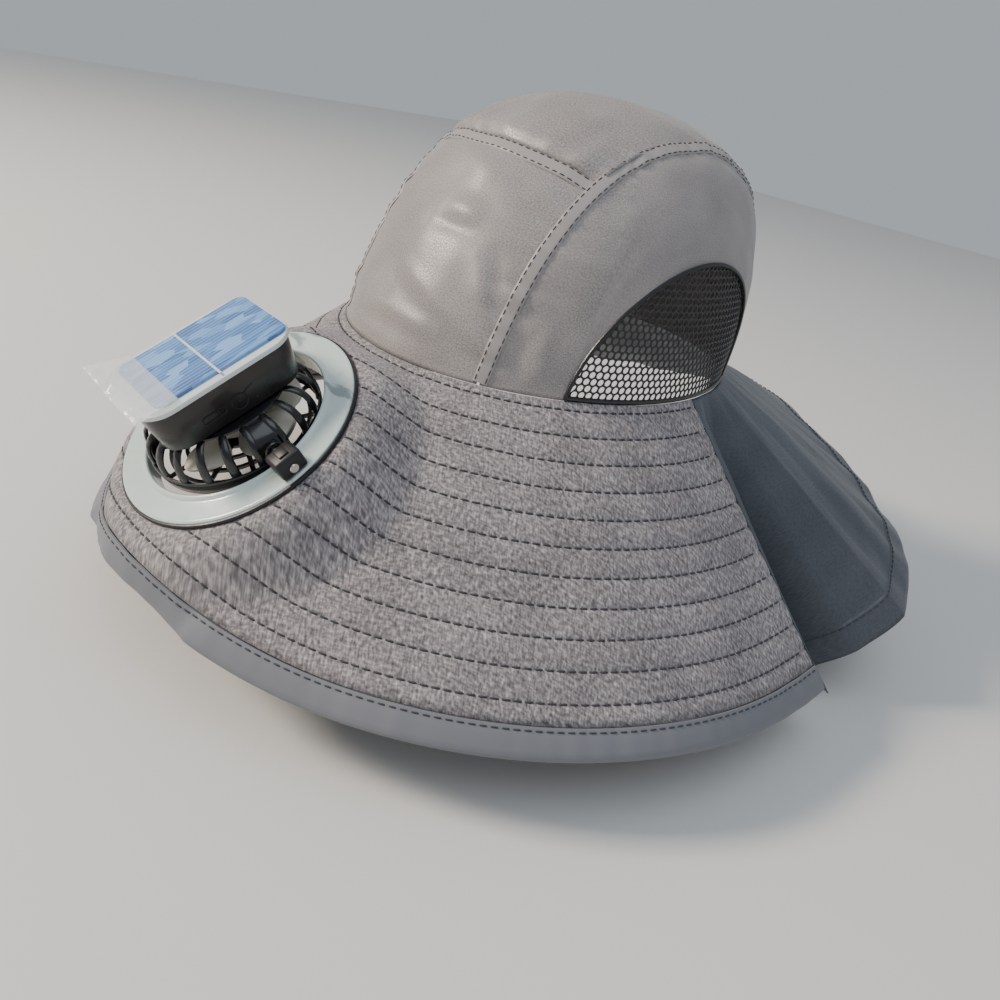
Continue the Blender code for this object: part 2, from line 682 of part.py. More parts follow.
def build_hat():
    clear_scene()
    hat = collection("solar_fan_hat")
    cutters = collection("cutters")
    gap_angle = GAP / (2.0 * CROWN_HEIGHT)
    middle_panel("crown_front_panel", lambda x: 0.0, lambda x: gather_angle(x) - gap_angle, FRONT_ROWS, hat)
    middle_panel("crown_top_panel", lambda x: gather_angle(x) + gap_angle, lambda x: math.pi, TOP_ROWS, hat)
    side_panel("crown_side_left", 1.0, hat)
    side_panel("crown_side_right", -1.0, hat)
    net_vent("mesh_left", 1.0, hat)
    net_vent("mesh_right", -1.0, hat)
    build_brim(hat, cutters)
    build_flap(hat)

    ring_axis = axis_empty("ring_axis", RING_PLACE, RING_SLOPE, hat)
    build_ring(hat, ring_axis)
    build_blocks(hat, cutters, ring_axis)
    fan_place = RING_PLACE + ring_axes()[1] * PIVOT_HEIGHT
    fan_axis = axis_empty("fan_axis", fan_place, RING_SLOPE - FAN_TILT, hat)
    spin_axis = axis_empty("spin_axis", (0.0, 0.0, 0.0), 0.0, hat, fan_axis)
    build_cage(hat, cutters, fan_axis)
    build_fan(hat, cutters, fan_axis, spin_axis)
    build_solar_box(hat, cutters, fan_axis)
    bpy.context.view_layer.update()


build_hat()
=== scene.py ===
"""Looks of the solar fan hat: shiny nylon crown, net vents, stitched heather brim, neck flap and solar fan.

Metres, in the same frame as the solids: the front is -Y, the wearer's left is +X, and the crown's seam is at z = 0.
"""
import math
import random

import bmesh
import bpy
import numpy as np
from mathutils import Matrix, Vector, noise


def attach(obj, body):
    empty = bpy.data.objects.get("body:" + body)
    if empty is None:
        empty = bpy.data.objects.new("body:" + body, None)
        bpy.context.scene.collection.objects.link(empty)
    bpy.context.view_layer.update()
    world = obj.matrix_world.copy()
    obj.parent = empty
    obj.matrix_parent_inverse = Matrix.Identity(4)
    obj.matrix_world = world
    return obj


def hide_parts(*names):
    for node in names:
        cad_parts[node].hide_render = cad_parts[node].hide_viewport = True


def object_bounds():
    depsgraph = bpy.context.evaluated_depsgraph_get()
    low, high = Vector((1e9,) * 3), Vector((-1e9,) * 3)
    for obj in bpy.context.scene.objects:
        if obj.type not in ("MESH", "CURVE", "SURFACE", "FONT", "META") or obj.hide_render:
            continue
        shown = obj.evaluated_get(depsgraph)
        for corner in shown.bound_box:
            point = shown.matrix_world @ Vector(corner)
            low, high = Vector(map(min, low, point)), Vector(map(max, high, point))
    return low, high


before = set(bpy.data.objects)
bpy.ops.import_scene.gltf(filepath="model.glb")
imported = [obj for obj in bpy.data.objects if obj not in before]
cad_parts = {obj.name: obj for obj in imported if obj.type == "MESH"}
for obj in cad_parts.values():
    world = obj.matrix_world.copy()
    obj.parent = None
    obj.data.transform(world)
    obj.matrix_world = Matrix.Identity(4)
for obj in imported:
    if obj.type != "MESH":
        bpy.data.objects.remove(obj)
SOLID_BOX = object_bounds()

MM = 0.001
UP = Vector((0.0, 0.0, 1.0))

# Camera: where it looks from, round the head opening, and the lens as pixels per 1000 pixels of frame
CAMERA_TURN = math.radians(43.10)
CAMERA_RISE = math.radians(26.78)
CAMERA_ROLL = math.radians(12.37)
CAMERA_AWAY = 0.42
CAMERA_ASIDE = (-0.0019, -0.0859)
CAMERA_FOCUS = 0.8325
SENSOR = 36.0

# Crown
HEAD_HALF_WIDTH = 88.0 * MM
HEAD_HALF_LENGTH = 100.0 * MM
CROWN_HEIGHT = 110.0 * MM
CROWN_SQUARENESS = 2.75
CROWN_TAPER = math.radians(2.6)
CROWN_LEAN_BACK = 24.0 * MM
SIDE_SEAM_X = 49.0 * MM
SEAM_BAND = 6.5 * MM
GATHER_ANGLE_MIDDLE = math.radians(53.6)
GATHER_ANGLE_RISE = math.radians(4.5)
SECTION_CENTRE_Y = 12.0 * MM
NYLON = 0.45 * MM

# Net vents
VENT_MIDDLE = math.radians(90.0)
VENT_HALF_ANGLE = math.radians(34.0)
VENT_HEIGHT = 58.0 * MM
NET_PITCH = 3.3 * MM
NET_CORD = 1.15 * MM

# Brim, with its stitch rows and binding
BRIM_END = math.radians(97.0)
BRIM_CLOTH = 2.0 * MM
STITCH_FIRST = 4.0 * MM
STITCH_PITCH = 11.7 * MM
STITCH_ROWS = 11
STITCH_TO_BINDING = 7.8 * MM
BINDING_WIDTH = 11.8 * MM
STITCH_LENGTH = 3.3 * MM
STITCH_GAP = 0.9 * MM
FRONT_SAG = math.radians(7.0)
FRONT_SAG_SPREAD = math.radians(30.0)
BRIM_SLOPES = [
    # angle, slope
    (0.0, 27.2),
    (30.0, 36.1),
    (60.0, 40.3),
    (90.0, 44.0),
    (97.0, 43.5),
]
BRIM_CURL_FRONT = math.radians(11.5) / (100.0 * MM)
BRIM_CURL_SIDE = math.radians(-0.6) / (100.0 * MM)

# Neck flap
FLAP_LENGTH_SHARE = 1.015
FLAP_SLOPES = [
    # angle, slope, curl
    (97.0, 43.5, -0.6),
    (100.0, 45.5, -0.3),
    (103.5, 62.0, 0.0),
    (106.5, 60.0, 0.0),
    (111.0, 42.0, 0.3),
    (116.0, 33.0, 0.7),
    (130.0, 30.6, 0.7),
    (150.0, 27.6, 0.7),
    (180.0, 20.0, 0.7),
]
FLAP_HEM = 14.0 * MM

# Fan ring and fan
RING_PLACE = Vector((0.0, -161.1, -26.9)) * MM
RING_SLOPE = math.radians(36.8)
RING_RADIUS = 50.0 * MM
RING_THICKNESS = 2.4 * MM
DUCT_RADIUS = 38.0 * MM
DUCT_WALL = 2.0 * MM
DUCT_DEPTH = 8.0 * MM
LIP_HEIGHT = 1.6 * MM
LIP_WIDTH = 2.2 * MM
GAP = 0.3 * MM
BRIM_FLATTENING = 22.0 * MM
BRIM_FLATTENING_START = 18.0 * MM
PIVOT_HEIGHT = 3.5 * MM
FAN_TILT = math.radians(7.0)
CAGE_RADIUS = 35.0 * MM
CAGE_TOP_RADIUS = 24.0 * MM
CAGE_TOP = 9.8 * MM
CAGE_BOTTOM = -10.0 * MM
CAGE_RIBS = 20
HUB_RADIUS = 10.0 * MM
HUB_HEIGHT = 7.0 * MM
ROTOR_RADIUS = 29.0 * MM
BLADES = 5
BOX_LENGTH = 61.0 * MM
BOX_WIDTH = 43.6 * MM
BOX_HEIGHT = 17.0 * MM
BOX_CORNER = 10.0 * MM
BOX_TAPER = 0.94
BOX_OUTWARD = 0.2 * MM
RIM_OVERHANG = 1.0 * MM
RIM_THICKNESS = 1.6 * MM
CELL_INSET = 3.0 * MM
CELL_THICKNESS = 1.2 * MM
SOCKET_OUTWARD = 9.5 * MM
SOCKET_DROP = 10.3 * MM

BRIM_TO_BINDING = STITCH_FIRST + (STITCH_ROWS - 1) * STITCH_PITCH + STITCH_TO_BINDING
BRIM_WIDTH = BRIM_TO_BINDING + BINDING_WIDTH


# Materials

def linear(code):
    """A linear colour from an sRGB hex value."""
    parts = [int(code[i:i + 2], 16) / 255.0 for i in (1, 3, 5)]
    return tuple(p / 12.92 if p <= 0.04045 else ((p + 0.055) / 1.055) ** 2.4 for p in parts) + (1.0,)


def add_node(tree, kind, settings=None, links=None):
    """Adds a node, gives it its settings (attributes or sockets) and links other sockets into it."""
    node = tree.nodes.new(kind)
    for key, value in (settings or {}).items():
        if isinstance(key, str) and hasattr(node, key) and not node.inputs.get(key):
            setattr(node, key, value)
        else:
            node.inputs[key].default_value = value
    for key, socket in (links or {}).items():
        tree.links.new(socket, node.inputs[key])
    return node


def new_material(name, **shader_settings):
    """A material with its principled shader set, and the tree to build on."""
    material = bpy.data.materials.new(name)
    material.use_nodes = True
    tree = material.node_tree
    shader = tree.nodes["Principled BSDF"]
    for key, value in shader_settings.items():
        shader.inputs[key.replace("_", " ").title().replace("Ior", "IOR")].default_value = value
    return material, tree, shader


def ramp(tree, factor, stops):
    """A colour ramp through hex colours."""
    node = add_node(tree, "ShaderNodeValToRGB", links={"Fac": factor})
    row = node.color_ramp.elements
    while len(row) < len(stops):
        row.new(0.5)
    for element, (place, code) in zip(row, stops):
        element.position = place
        element.color = linear(code)
    return node.outputs["Color"]


def cloth_places(tree):
    """Places along the cloth in metres, from its own lengthwise and crosswise thread directions."""
    return add_node(tree, "ShaderNodeUVMap", {"uv_map": "threads"}).outputs["UV"]


def heather_polyester():
    """Brushed heather polyester: matte, mottled light and dark yarns at about 0.7 mm, drawn coarser to show."""
    material, tree, shader = new_material("heather_polyester", roughness=0.92, sheen_weight=0.12, sheen_roughness=0.5)
    where = cloth_places(tree)
    across = add_node(tree, "ShaderNodeMapping", {"Scale": (1100.0, 420.0, 1.0)}, {"Vector": where})
    along = add_node(tree, "ShaderNodeMapping", {"Scale": (420.0, 1100.0, 1.0)}, {"Vector": where})
    warp = add_node(tree, "ShaderNodeTexNoise", {"Scale": 1.0, "Detail": 2.0}, {"Vector": across.outputs[0]})
    weft = add_node(tree, "ShaderNodeTexNoise", {"Scale": 1.0, "Detail": 2.0}, {"Vector": along.outputs[0]})
    yarns = add_node(tree, "ShaderNodeMix", {"data_type": "FLOAT", "Factor": 0.5},
                     {2: warp.outputs["Fac"], 3: weft.outputs["Fac"]})
    cloud = add_node(tree, "ShaderNodeTexNoise", {"Scale": 45.0, "Detail": 3.0}, {"Vector": where})
    mottle = add_node(tree, "ShaderNodeMath", {"operation": "MULTIPLY_ADD", 1: 0.16},
                      {0: cloud.outputs["Fac"], 2: yarns.outputs[0]})
    colour = ramp(tree, mottle.outputs[0], [(0.40, "#4a474a"), (0.56, "#7b7678"), (0.68, "#a29c9c"), (0.80, "#c9c4c4")])
    tree.links.new(colour, shader.inputs["Base Color"])
    bump = add_node(tree, "ShaderNodeBump", {"Strength": 0.5, "Distance": 0.00035}, {"Height": yarns.outputs[0]})
    tree.links.new(bump.outputs[0], shader.inputs["Normal"])
    return material


def crisp_nylon(name, dark, light, roughness, crinkle=0.00045):
    """Calendered woven nylon: a soft shine with a fine sparkle from its filaments, and slight crinkles."""
    material, tree, shader = new_material(name, roughness=roughness, sheen_weight=0.15, sheen_roughness=0.35)
    where = cloth_places(tree)
    fine = add_node(tree, "ShaderNodeTexNoise", {"Scale": 1500.0, "Detail": 2.0}, {"Vector": where})
    cloud = add_node(tree, "ShaderNodeTexNoise", {"Scale": 30.0, "Detail": 4.0}, {"Vector": where})
    mixed = add_node(tree, "ShaderNodeMath", {"operation": "MULTIPLY_ADD", 1: 0.35},
                     {0: cloud.outputs["Fac"], 2: fine.outputs["Fac"]})
    colour = ramp(tree, mixed.outputs[0], [(0.45, dark), (0.85, light)])
    tree.links.new(colour, shader.inputs["Base Color"])
    glint = add_node(tree, "ShaderNodeMapRange", {"From Min": 0.35, "From Max": 0.7, "To Min": roughness + 0.12,
                                                  "To Max": roughness - 0.12}, {"Value": fine.outputs["Fac"]})
    tree.links.new(glint.outputs[0], shader.inputs["Roughness"])
    folds = add_node(tree, "ShaderNodeTexNoise", {"Scale": 55.0, "Detail": 5.0, "Distortion": 0.6}, {"Vector": where})
    soft = add_node(tree, "ShaderNodeBump", {"Strength": 0.6, "Distance": crinkle}, {"Height": folds.outputs["Fac"]})
    bump = add_node(tree, "ShaderNodeBump", {"Strength": 0.35, "Distance": 0.0001},
                    {"Height": fine.outputs["Fac"], "Normal": soft.outputs[0]})
    tree.links.new(bump.outputs[0], shader.inputs["Normal"])
    return material


def moulded_plastic(name, code, roughness, grain=0.0, coat=0.0, smudge_and_reflection=None):
    """Injection-moulded plastic: an even colour with a fine mould grain, and darker streaky patches, partly smudges and
    partly painted reflections and shadows.
    """
    material, tree, shader = new_material(name, roughness=roughness, coat_weight=coat, coat_roughness=0.08)
    shader.inputs["Base Color"].default_value = linear(code)
    place = add_node(tree, "ShaderNodeTexCoord").outputs["Object"]
    wear = add_node(tree, "ShaderNodeTexNoise", {"Scale": 90.0, "Detail": 5.0}, {"Vector": place})
    rub = add_node(tree, "ShaderNodeMapRange", {"From Min": 0.3, "From Max": 0.7, "To Min": max(0.05, roughness - 0.08),
                                                "To Max": roughness + 0.1}, {"Value": wear.outputs["Fac"]})
    tree.links.new(rub.outputs[0], shader.inputs["Roughness"])
    # Darker streaky patches: partly smudges, partly painted reflections and painted shadow on the glossy surface.
    if smudge_and_reflection:
        streak = add_node(tree, "ShaderNodeMapping", {"Scale": (1.0, 2.4, 1.0)}, {"Vector": place})
        marks = add_node(tree, "ShaderNodeTexNoise", {"Scale": 38.0, "Detail": 4.0, "Distortion": 1.2},
                         {"Vector": streak.outputs[0]})
        colour = ramp(tree, marks.outputs["Fac"], [(0.46, code), (0.58, code), (0.66, smudge_and_reflection)])
        tree.links.new(colour, shader.inputs["Base Color"])
    if grain:
        pits = add_node(tree, "ShaderNodeTexNoise", {"Scale": 2200.0, "Detail": 1.0}, {"Vector": place})
        bump = add_node(tree, "ShaderNodeBump", {"Strength": grain, "Distance": 0.0001}, {"Height": pits.outputs["Fac"]})
        tree.links.new(bump.outputs[0], shader.inputs["Normal"])
    return material


def nickel_plate():
    """Nickel-plated steel: bright, with faint rubbing."""
    material, tree, shader = new_material("nickel_plate", roughness=0.25, metallic=1.0)
    shader.inputs["Base Color"].default_value = linear("#c9c8c4")
    place = add_node(tree, "ShaderNodeTexCoord").outputs["Object"]
    rub = add_node(tree, "ShaderNodeTexNoise", {"Scale": 900.0, "Detail": 2.0}, {"Vector": place})
    spread = add_node(tree, "ShaderNodeMapRange", {"To Min": 0.15, "To Max": 0.38}, {"Value": rub.outputs["Fac"]})
    tree.links.new(spread.outputs[0], shader.inputs["Roughness"])
    return material


def silicon_cell():
    """Polycrystalline silicon under a clear laminate: blue grains a few millimetres wide, crossed by fine pale lines,
    partly real collector lines and partly painted highlight streaks.
    """
    material, tree, shader = new_material("silicon_cell", roughness=0.38, coat_weight=0.8, coat_roughness=0.12)
    where = cloth_places(tree)
    stretched = add_node(tree, "ShaderNodeMapping", {"Scale": (260.0, 110.0, 1.0)}, {"Vector": where})
    grains = add_node(tree, "ShaderNodeTexVoronoi", {"Scale": 1.0}, {"Vector": stretched.outputs[0]})
    tone = add_node(tree, "ShaderNodeSeparateColor", links={"Color": grains.outputs["Color"]})
    blues = ramp(tree, tone.outputs[0], [(0.0, "#31619f"), (0.5, "#4c83c4"), (1.0, "#7fb0e0")])
    # Collector lines about 1.9 mm apart along the cell, brightened in patches by noise as painted highlight streaks
    # from the film on top
    split = add_node(tree, "ShaderNodeSeparateXYZ", links={"Vector": where})
    count = add_node(tree, "ShaderNodeMath", {"operation": "MULTIPLY", 1: 1.0 / (1.9 * MM)}, {0: split.outputs["X"]})
    part = add_node(tree, "ShaderNodeMath", {"operation": "FRACT"}, {0: count.outputs[0]})
    line = add_node(tree, "ShaderNodeMath", {"operation": "LESS_THAN", 1: 0.17}, {0: part.outputs[0]})
    # Noise that brightens the lines in patches: painted highlight streaks from the clear film.
    painted_glint_noise = add_node(tree, "ShaderNodeTexNoise", {"Scale": 130.0, "Detail": 4.0}, {"Vector": stretched.outputs[0]})
    strength = add_node(tree, "ShaderNodeMath", {"operation": "MULTIPLY"}, {0: line.outputs[0], 1: painted_glint_noise.outputs["Fac"]})
    colour = add_node(tree, "ShaderNodeMix", {"data_type": "RGBA", 7: linear("#b9d2ea")},
                      {0: strength.outputs[0], 6: blues})
    tree.links.new(colour.outputs[2], shader.inputs["Base Color"])
    return material


def clear_film():
    """Clear protective film, half lifted: shows by its shine and its milky edge."""
    material, tree, shader = new_material("clear_film", roughness=0.12, transmission_weight=0.0, alpha=0.28)
    shader.inputs["Base Color"].default_value = linear("#eef3f2")
    place = add_node(tree, "ShaderNodeTexCoord").outputs["Object"]
    wrinkle = add_node(tree, "ShaderNodeTexNoise", {"Scale": 160.0, "Detail": 4.0, "Distortion": 1.5}, {"Vector": place})
    bump = add_node(tree, "ShaderNodeBump", {"Strength": 0.8, "Distance": 0.0006}, {"Height": wrinkle.outputs["Fac"]})
    tree.links.new(bump.outputs[0], shader.inputs["Normal"])
    return material


def sewing_thread(name, code):
    """Spun polyester thread, matte."""
    material, tree, shader = new_material(name, roughness=0.8)
    shader.inputs["Base Color"].default_value = linear(code)
    place = add_node(tree, "ShaderNodeTexCoord").outputs["Object"]
    twist = add_node(tree, "ShaderNodeTexNoise", {"Scale": 1800.0}, {"Vector": place})
    bump = add_node(tree, "ShaderNodeBump", {"Strength": 0.5, "Distance": 0.0001}, {"Height": twist.outputs["Fac"]})
    tree.links.new(bump.outputs[0], shader.inputs["Normal"])
    return material


def net_yarn():
    """Knitted net of glossy black filament."""
    material, tree, shader = new_material("net_yarn", roughness=0.32, specular_ior_level=0.7)
    shader.inputs["Base Color"].default_value = linear("#121214")
    place = add_node(tree, "ShaderNodeTexCoord").outputs["Object"]
    strand = add_node(tree, "ShaderNodeTexNoise", {"Scale": 1400.0, "Detail": 2.0}, {"Vector": place})
    bump = add_node(tree, "ShaderNodeBump", {"Strength": 0.6, "Distance": 0.0002}, {"Height": strand.outputs["Fac"]})
    tree.links.new(bump.outputs[0], shader.inputs["Normal"])
    return material


# Mesh helpers

def finish_piece(name, mesh, material, body="hat", replaced=()):
    """Names a piece, gives it its material, and ties it to its body and to the solids that it stands for."""
    piece = bpy.data.objects.new(name, mesh)
    bpy.context.scene.collection.objects.link(piece)
    if material:
        mesh.materials.append(material)
    if replaced:
        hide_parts(*replaced)
    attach(piece, body)
    return piece


def smooth(mesh, angle=40.0):
    mesh.shade_smooth()
    mesh.set_sharp_from_angle(angle=math.radians(angle))


def smoothstep(x):
    x = min(max(x, 0.0), 1.0)
    return x * x * (3.0 - 2.0 * x)


def read_table(rows, angle, column=1):
    degrees = min(max(abs(math.degrees(angle)), rows[0][0]), rows[-1][0])
    for low, high in zip(rows, rows[1:]):
        if degrees <= high[0]:
            share = smoothstep((degrees - low[0]) / (high[0] - low[0])) * 0.5
            share += 0.5 * (degrees - low[0]) / (high[0] - low[0])
            return low[column] + share * (high[column] - low[column])
    return rows[-1][column]


# Shapes of the cloth

def crown_scale(height):
    share = min(max(height / CROWN_HEIGHT, 0.0), 1.0)
    drawn_in = (1.0 - share ** CROWN_SQUARENESS) ** (1.0 / CROWN_SQUARENESS)
    drawn_in *= 1.0 - math.tan(CROWN_TAPER) * height / HEAD_HALF_WIDTH
    return drawn_in, CROWN_LEAN_BACK * share


def crown_at(angle, height):
    drawn_in, lean = crown_scale(height)
    x = HEAD_HALF_WIDTH * math.sin(angle) * drawn_in
    y = -HEAD_HALF_LENGTH * math.cos(angle) * drawn_in + lean
    return Vector((x, y, height))


def halve(low, high, is_low):
    for _ in range(32):
        middle = (low + high) / 2.0
        if is_low(middle):
            low = middle
        else:
            high = middle
    return (low + high) / 2.0


def crown_section(x, angle):
    cos, sin = math.cos(angle), math.sin(angle)

    def inside(reach):
        y = SECTION_CENTRE_Y - reach * cos
        z = reach * sin
        drawn_in, lean = crown_scale(z)
        if z >= CROWN_HEIGHT or drawn_in <= 0.0:
            return False
        across = x / (HEAD_HALF_WIDTH * drawn_in)
        along = (y - lean) / (HEAD_HALF_LENGTH * drawn_in)
        return across * across + along * along < 1.0

    reach = halve(0.0, 2.0 * HEAD_HALF_LENGTH, inside)
    return Vector((x, SECTION_CENTRE_Y - reach * cos, reach * sin))


def crown_normal(point):
    """Direction straight out of the crown's surface near a point."""
    def level(p):
        drawn_in, lean = crown_scale(min(max(p.z, 0.0), CROWN_HEIGHT * 0.9995))
        across = p.x / (HEAD_HALF_WIDTH * drawn_in)
        along = (p.y - lean) / (HEAD_HALF_LENGTH * drawn_in)
        return across * across + along * along

    step = 0.2 * MM
    near_top = point.z > CROWN_HEIGHT * 0.985
    if near_top:
        lean = CROWN_LEAN_BACK
        return Vector((point.x * 2.0, (point.y - lean) * 2.0, HEAD_HALF_WIDTH * 1.4)).normalized()
    gradient = Vector()
    for k in range(3):
        shift = Vector((0.0, 0.0, 0.0))
        shift[k] = step
        gradient[k] = level(point + shift) - level(point - shift if point.z > step else point)
    return gradient.normalized()


def gather_angle(x):
    return GATHER_ANGLE_MIDDLE + GATHER_ANGLE_RISE * (x / SIDE_SEAM_X) ** 2


def seam_height(angle):
    return halve(0.0, CROWN_HEIGHT, lambda z: crown_at(angle, z).x > SIDE_SEAM_X)


def vent_top(angle):
    share = (angle - VENT_MIDDLE) / VENT_HALF_ANGLE
    return VENT_HEIGHT * math.sqrt(max(0.0, 1.0 - share ** 2))


def ring_axes():
    outward = Vector((0.0, -math.cos(RING_SLOPE), -math.sin(RING_SLOPE)))
    face = Vector((0.0, -math.sin(RING_SLOPE), math.cos(RING_SLOPE)))
    return outward, face


def slope_point(angle, reach, slope, curl, sag=0.0):
    base = Vector((HEAD_HALF_WIDTH * math.sin(angle), -HEAD_HALF_LENGTH * math.cos(angle), 0.0))
    away = Vector((math.sin(angle) / HEAD_HALF_WIDTH, -math.cos(angle) / HEAD_HALF_LENGTH, 0.0)).normalized()
    level = 0.0
    drop = 0.0
    steps = 10
    for i in range(steps):
        run = reach * (i + 0.5) / steps
        lean = slope + curl * run + sag * ((run / (100.0 * MM)) ** 2 - 0.5)
        level += math.cos(lean) * reach / steps
        drop += math.sin(lean) * reach / steps
    return base + away * level - UP * drop


def brim_point(angle, reach):
    slope = math.radians(read_table(BRIM_SLOPES, angle))
    side_share = math.sin(angle) ** 2
    curl = BRIM_CURL_FRONT * (1.0 - side_share) + BRIM_CURL_SIDE * side_share
    sag = FRONT_SAG * math.exp(-((angle / FRONT_SAG_SPREAD) ** 2))
    point = slope_point(angle, reach, slope, curl, sag)
    outward, face = ring_axes()
    away = point - (RING_PLACE - face * (RING_THICKNESS + GAP))
    height = away.dot(face)
    radius = math.hypot(away.x, away.dot(outward))
    hold = 1.0 - smoothstep((radius - RING_RADIUS - 2.0 * MM) / BRIM_FLATTENING)
    hold *= smoothstep(reach / BRIM_FLATTENING_START)
    return point - face * height * hold


def brim_normal(angle, reach):
    step = 0.5 * MM
    turn = step / HEAD_HALF_LENGTH
    along = brim_point(angle + turn, reach) - brim_point(angle - turn, reach)
    out = brim_point(angle, reach + step) - brim_point(angle, reach - step)
    return out.cross(along).normalized()


def flap_point(angle, reach):
    slope = math.radians(read_table(FLAP_SLOPES, angle))
    curl = math.radians(read_table(FLAP_SLOPES, angle, 2)) / (100.0 * MM)
    return slope_point(angle, reach, slope, curl)


# Sheets and swept pieces

def cloth_sheet(name, us, vs, place, threads, flip=False, skip=None):
    """A sheet from a rule for its places, with the run of its threads kept in metres."""
    points = [place(u, v) for v in vs for u in us]
    runs = [threads(u, v) for v in vs for u in us]
    step = len(us)
    faces = []
    for j in range(len(vs) - 1):
        for i in range(step - 1):
            if skip and skip([points[k] for k in (j * step + i, j * step + i + 1, (j + 1) * step + i + 1, (j + 1) * step + i)]):
                continue
            a = j * step + i
            quad = (a, a + 1, a + step + 1, a + step)
            faces.append(quad[::-1] if flip else quad)
    mesh = bpy.data.meshes.new(name)
    mesh.from_pydata([tuple(p) for p in points], [], faces)
    layer = mesh.uv_layers.new(name="threads")
    for loop in mesh.loops:
        layer.data[loop.index].uv = runs[loop.vertex_index]
    build = bmesh.new()
    build.from_mesh(mesh)
    loose = [vert for vert in build.verts if not vert.link_faces]
    bmesh.ops.delete(build, geom=loose, context="VERTS")
    bmesh.ops.dissolve_degenerate(build, edges=build.edges, dist=0.02 * MM)
    build.to_mesh(mesh)
    build.free()
    mesh.shade_smooth()
    return mesh


def wall(piece, thickness, offset=-1.0):
    """Gives a sheet its thickness and bakes it in."""
    modifier = piece.modifiers.new("wall", "SOLIDIFY")
    modifier.thickness = thickness
    modifier.offset = offset
    bake(piece)


def bake(piece):
    """Applies a piece's modifiers to its mesh."""
    solved = piece.evaluated_get(bpy.context.evaluated_depsgraph_get())
    mesh = bpy.data.meshes.new_from_object(solved)
    piece.modifiers.clear()
    piece.data = mesh


def spread_evenly(low, high, count):
    return [low + (high - low) * i / count for i in range(count + 1)]


def sweep(build, places, section):
    """Sweeps a closed section of (across, height) along places, each a point and its upward direction."""
    last = len(places) - 1
    rings = []
    for i, (point, up) in enumerate(places):
        along = (places[min(i + 1, last)][0] - places[max(i - 1, 0)][0]).normalized()
        across = along.cross(up).normalized()
        high = across.cross(along)
        rings.append([build.verts.new(point + across * a + high * h) for a, h in section(i / last)])
    size = len(rings[0])
    for low, top in zip(rings, rings[1:]):
        for k in range(size):
            build.faces.new((low[k], low[(k + 1) % size], top[(k + 1) % size], top[k]))
    build.faces.new(rings[0][::-1])
    build.faces.new(rings[-1])


def to_mesh(build, name, sharp=40.0, frame_place=None):
    bmesh.ops.recalc_face_normals(build, faces=build.faces)
    if frame_place:
        bmesh.ops.transform(build, matrix=frame_place, verts=build.verts)
    mesh = bpy.data.meshes.new(name)
    build.to_mesh(mesh)
    build.free()
    mesh.shade_smooth()
    mesh.set_sharp_from_angle(angle=math.radians(sharp))
    return mesh


def round_section(radius, sides=8, flatten=1.0):
    turns = [2.0 * math.pi * k / sides for k in range(sides)]
    return [(radius * math.cos(t), radius * flatten * math.sin(t)) for t in turns]


def along_path(places, reach):
    """A place at a reach along a row of places."""
    lengths = [0.0]
    for (a, _), (b, _) in zip(places, places[1:]):
        lengths.append(lengths[-1] + (b - a).length)
    points = np.array([tuple(p) for p, _ in places])
    ups = np.array([tuple(n) for _, n in places])
    spots = np.array([np.interp(reach, lengths, points[:, k]) for k in range(3)]).T
    lifts = np.array([np.interp(reach, lengths, ups[:, k]) for k in range(3)]).T
    return spots, lifts


def sew(build, places, stitch, gap, radius, lift=0.0):
    """Thread dashes along a row of places: each rises out of the cloth and dives back."""
    total = sum((b[0] - a[0]).length for a, b in zip(places, places[1:]))
    count = int(total / (stitch + gap))
    starts = np.arange(count) * (stitch + gap) + gap / 2.0
    shares = np.array([0.0, 0.18, 0.5, 0.82, 1.0])
    heights = np.array([-0.9, 0.25, 0.5, 0.25, -0.9]) * radius * 1.2 + lift
    spots, ups = along_path(places, (starts[:, None] + shares[None, :] * stitch).ravel())
    spots = spots.reshape(count, 5, 3)
    ups = ups.reshape(count, 5, 3)
    section = round_section(radius, 5, 0.8)
    for spot, up in zip(spots, ups):
        dash = [(Vector(p) + Vector(n).normalized() * h, Vector(n)) for p, n, h in zip(spot, up, heights)]
        sweep(build, dash, lambda share: section)


# Crown

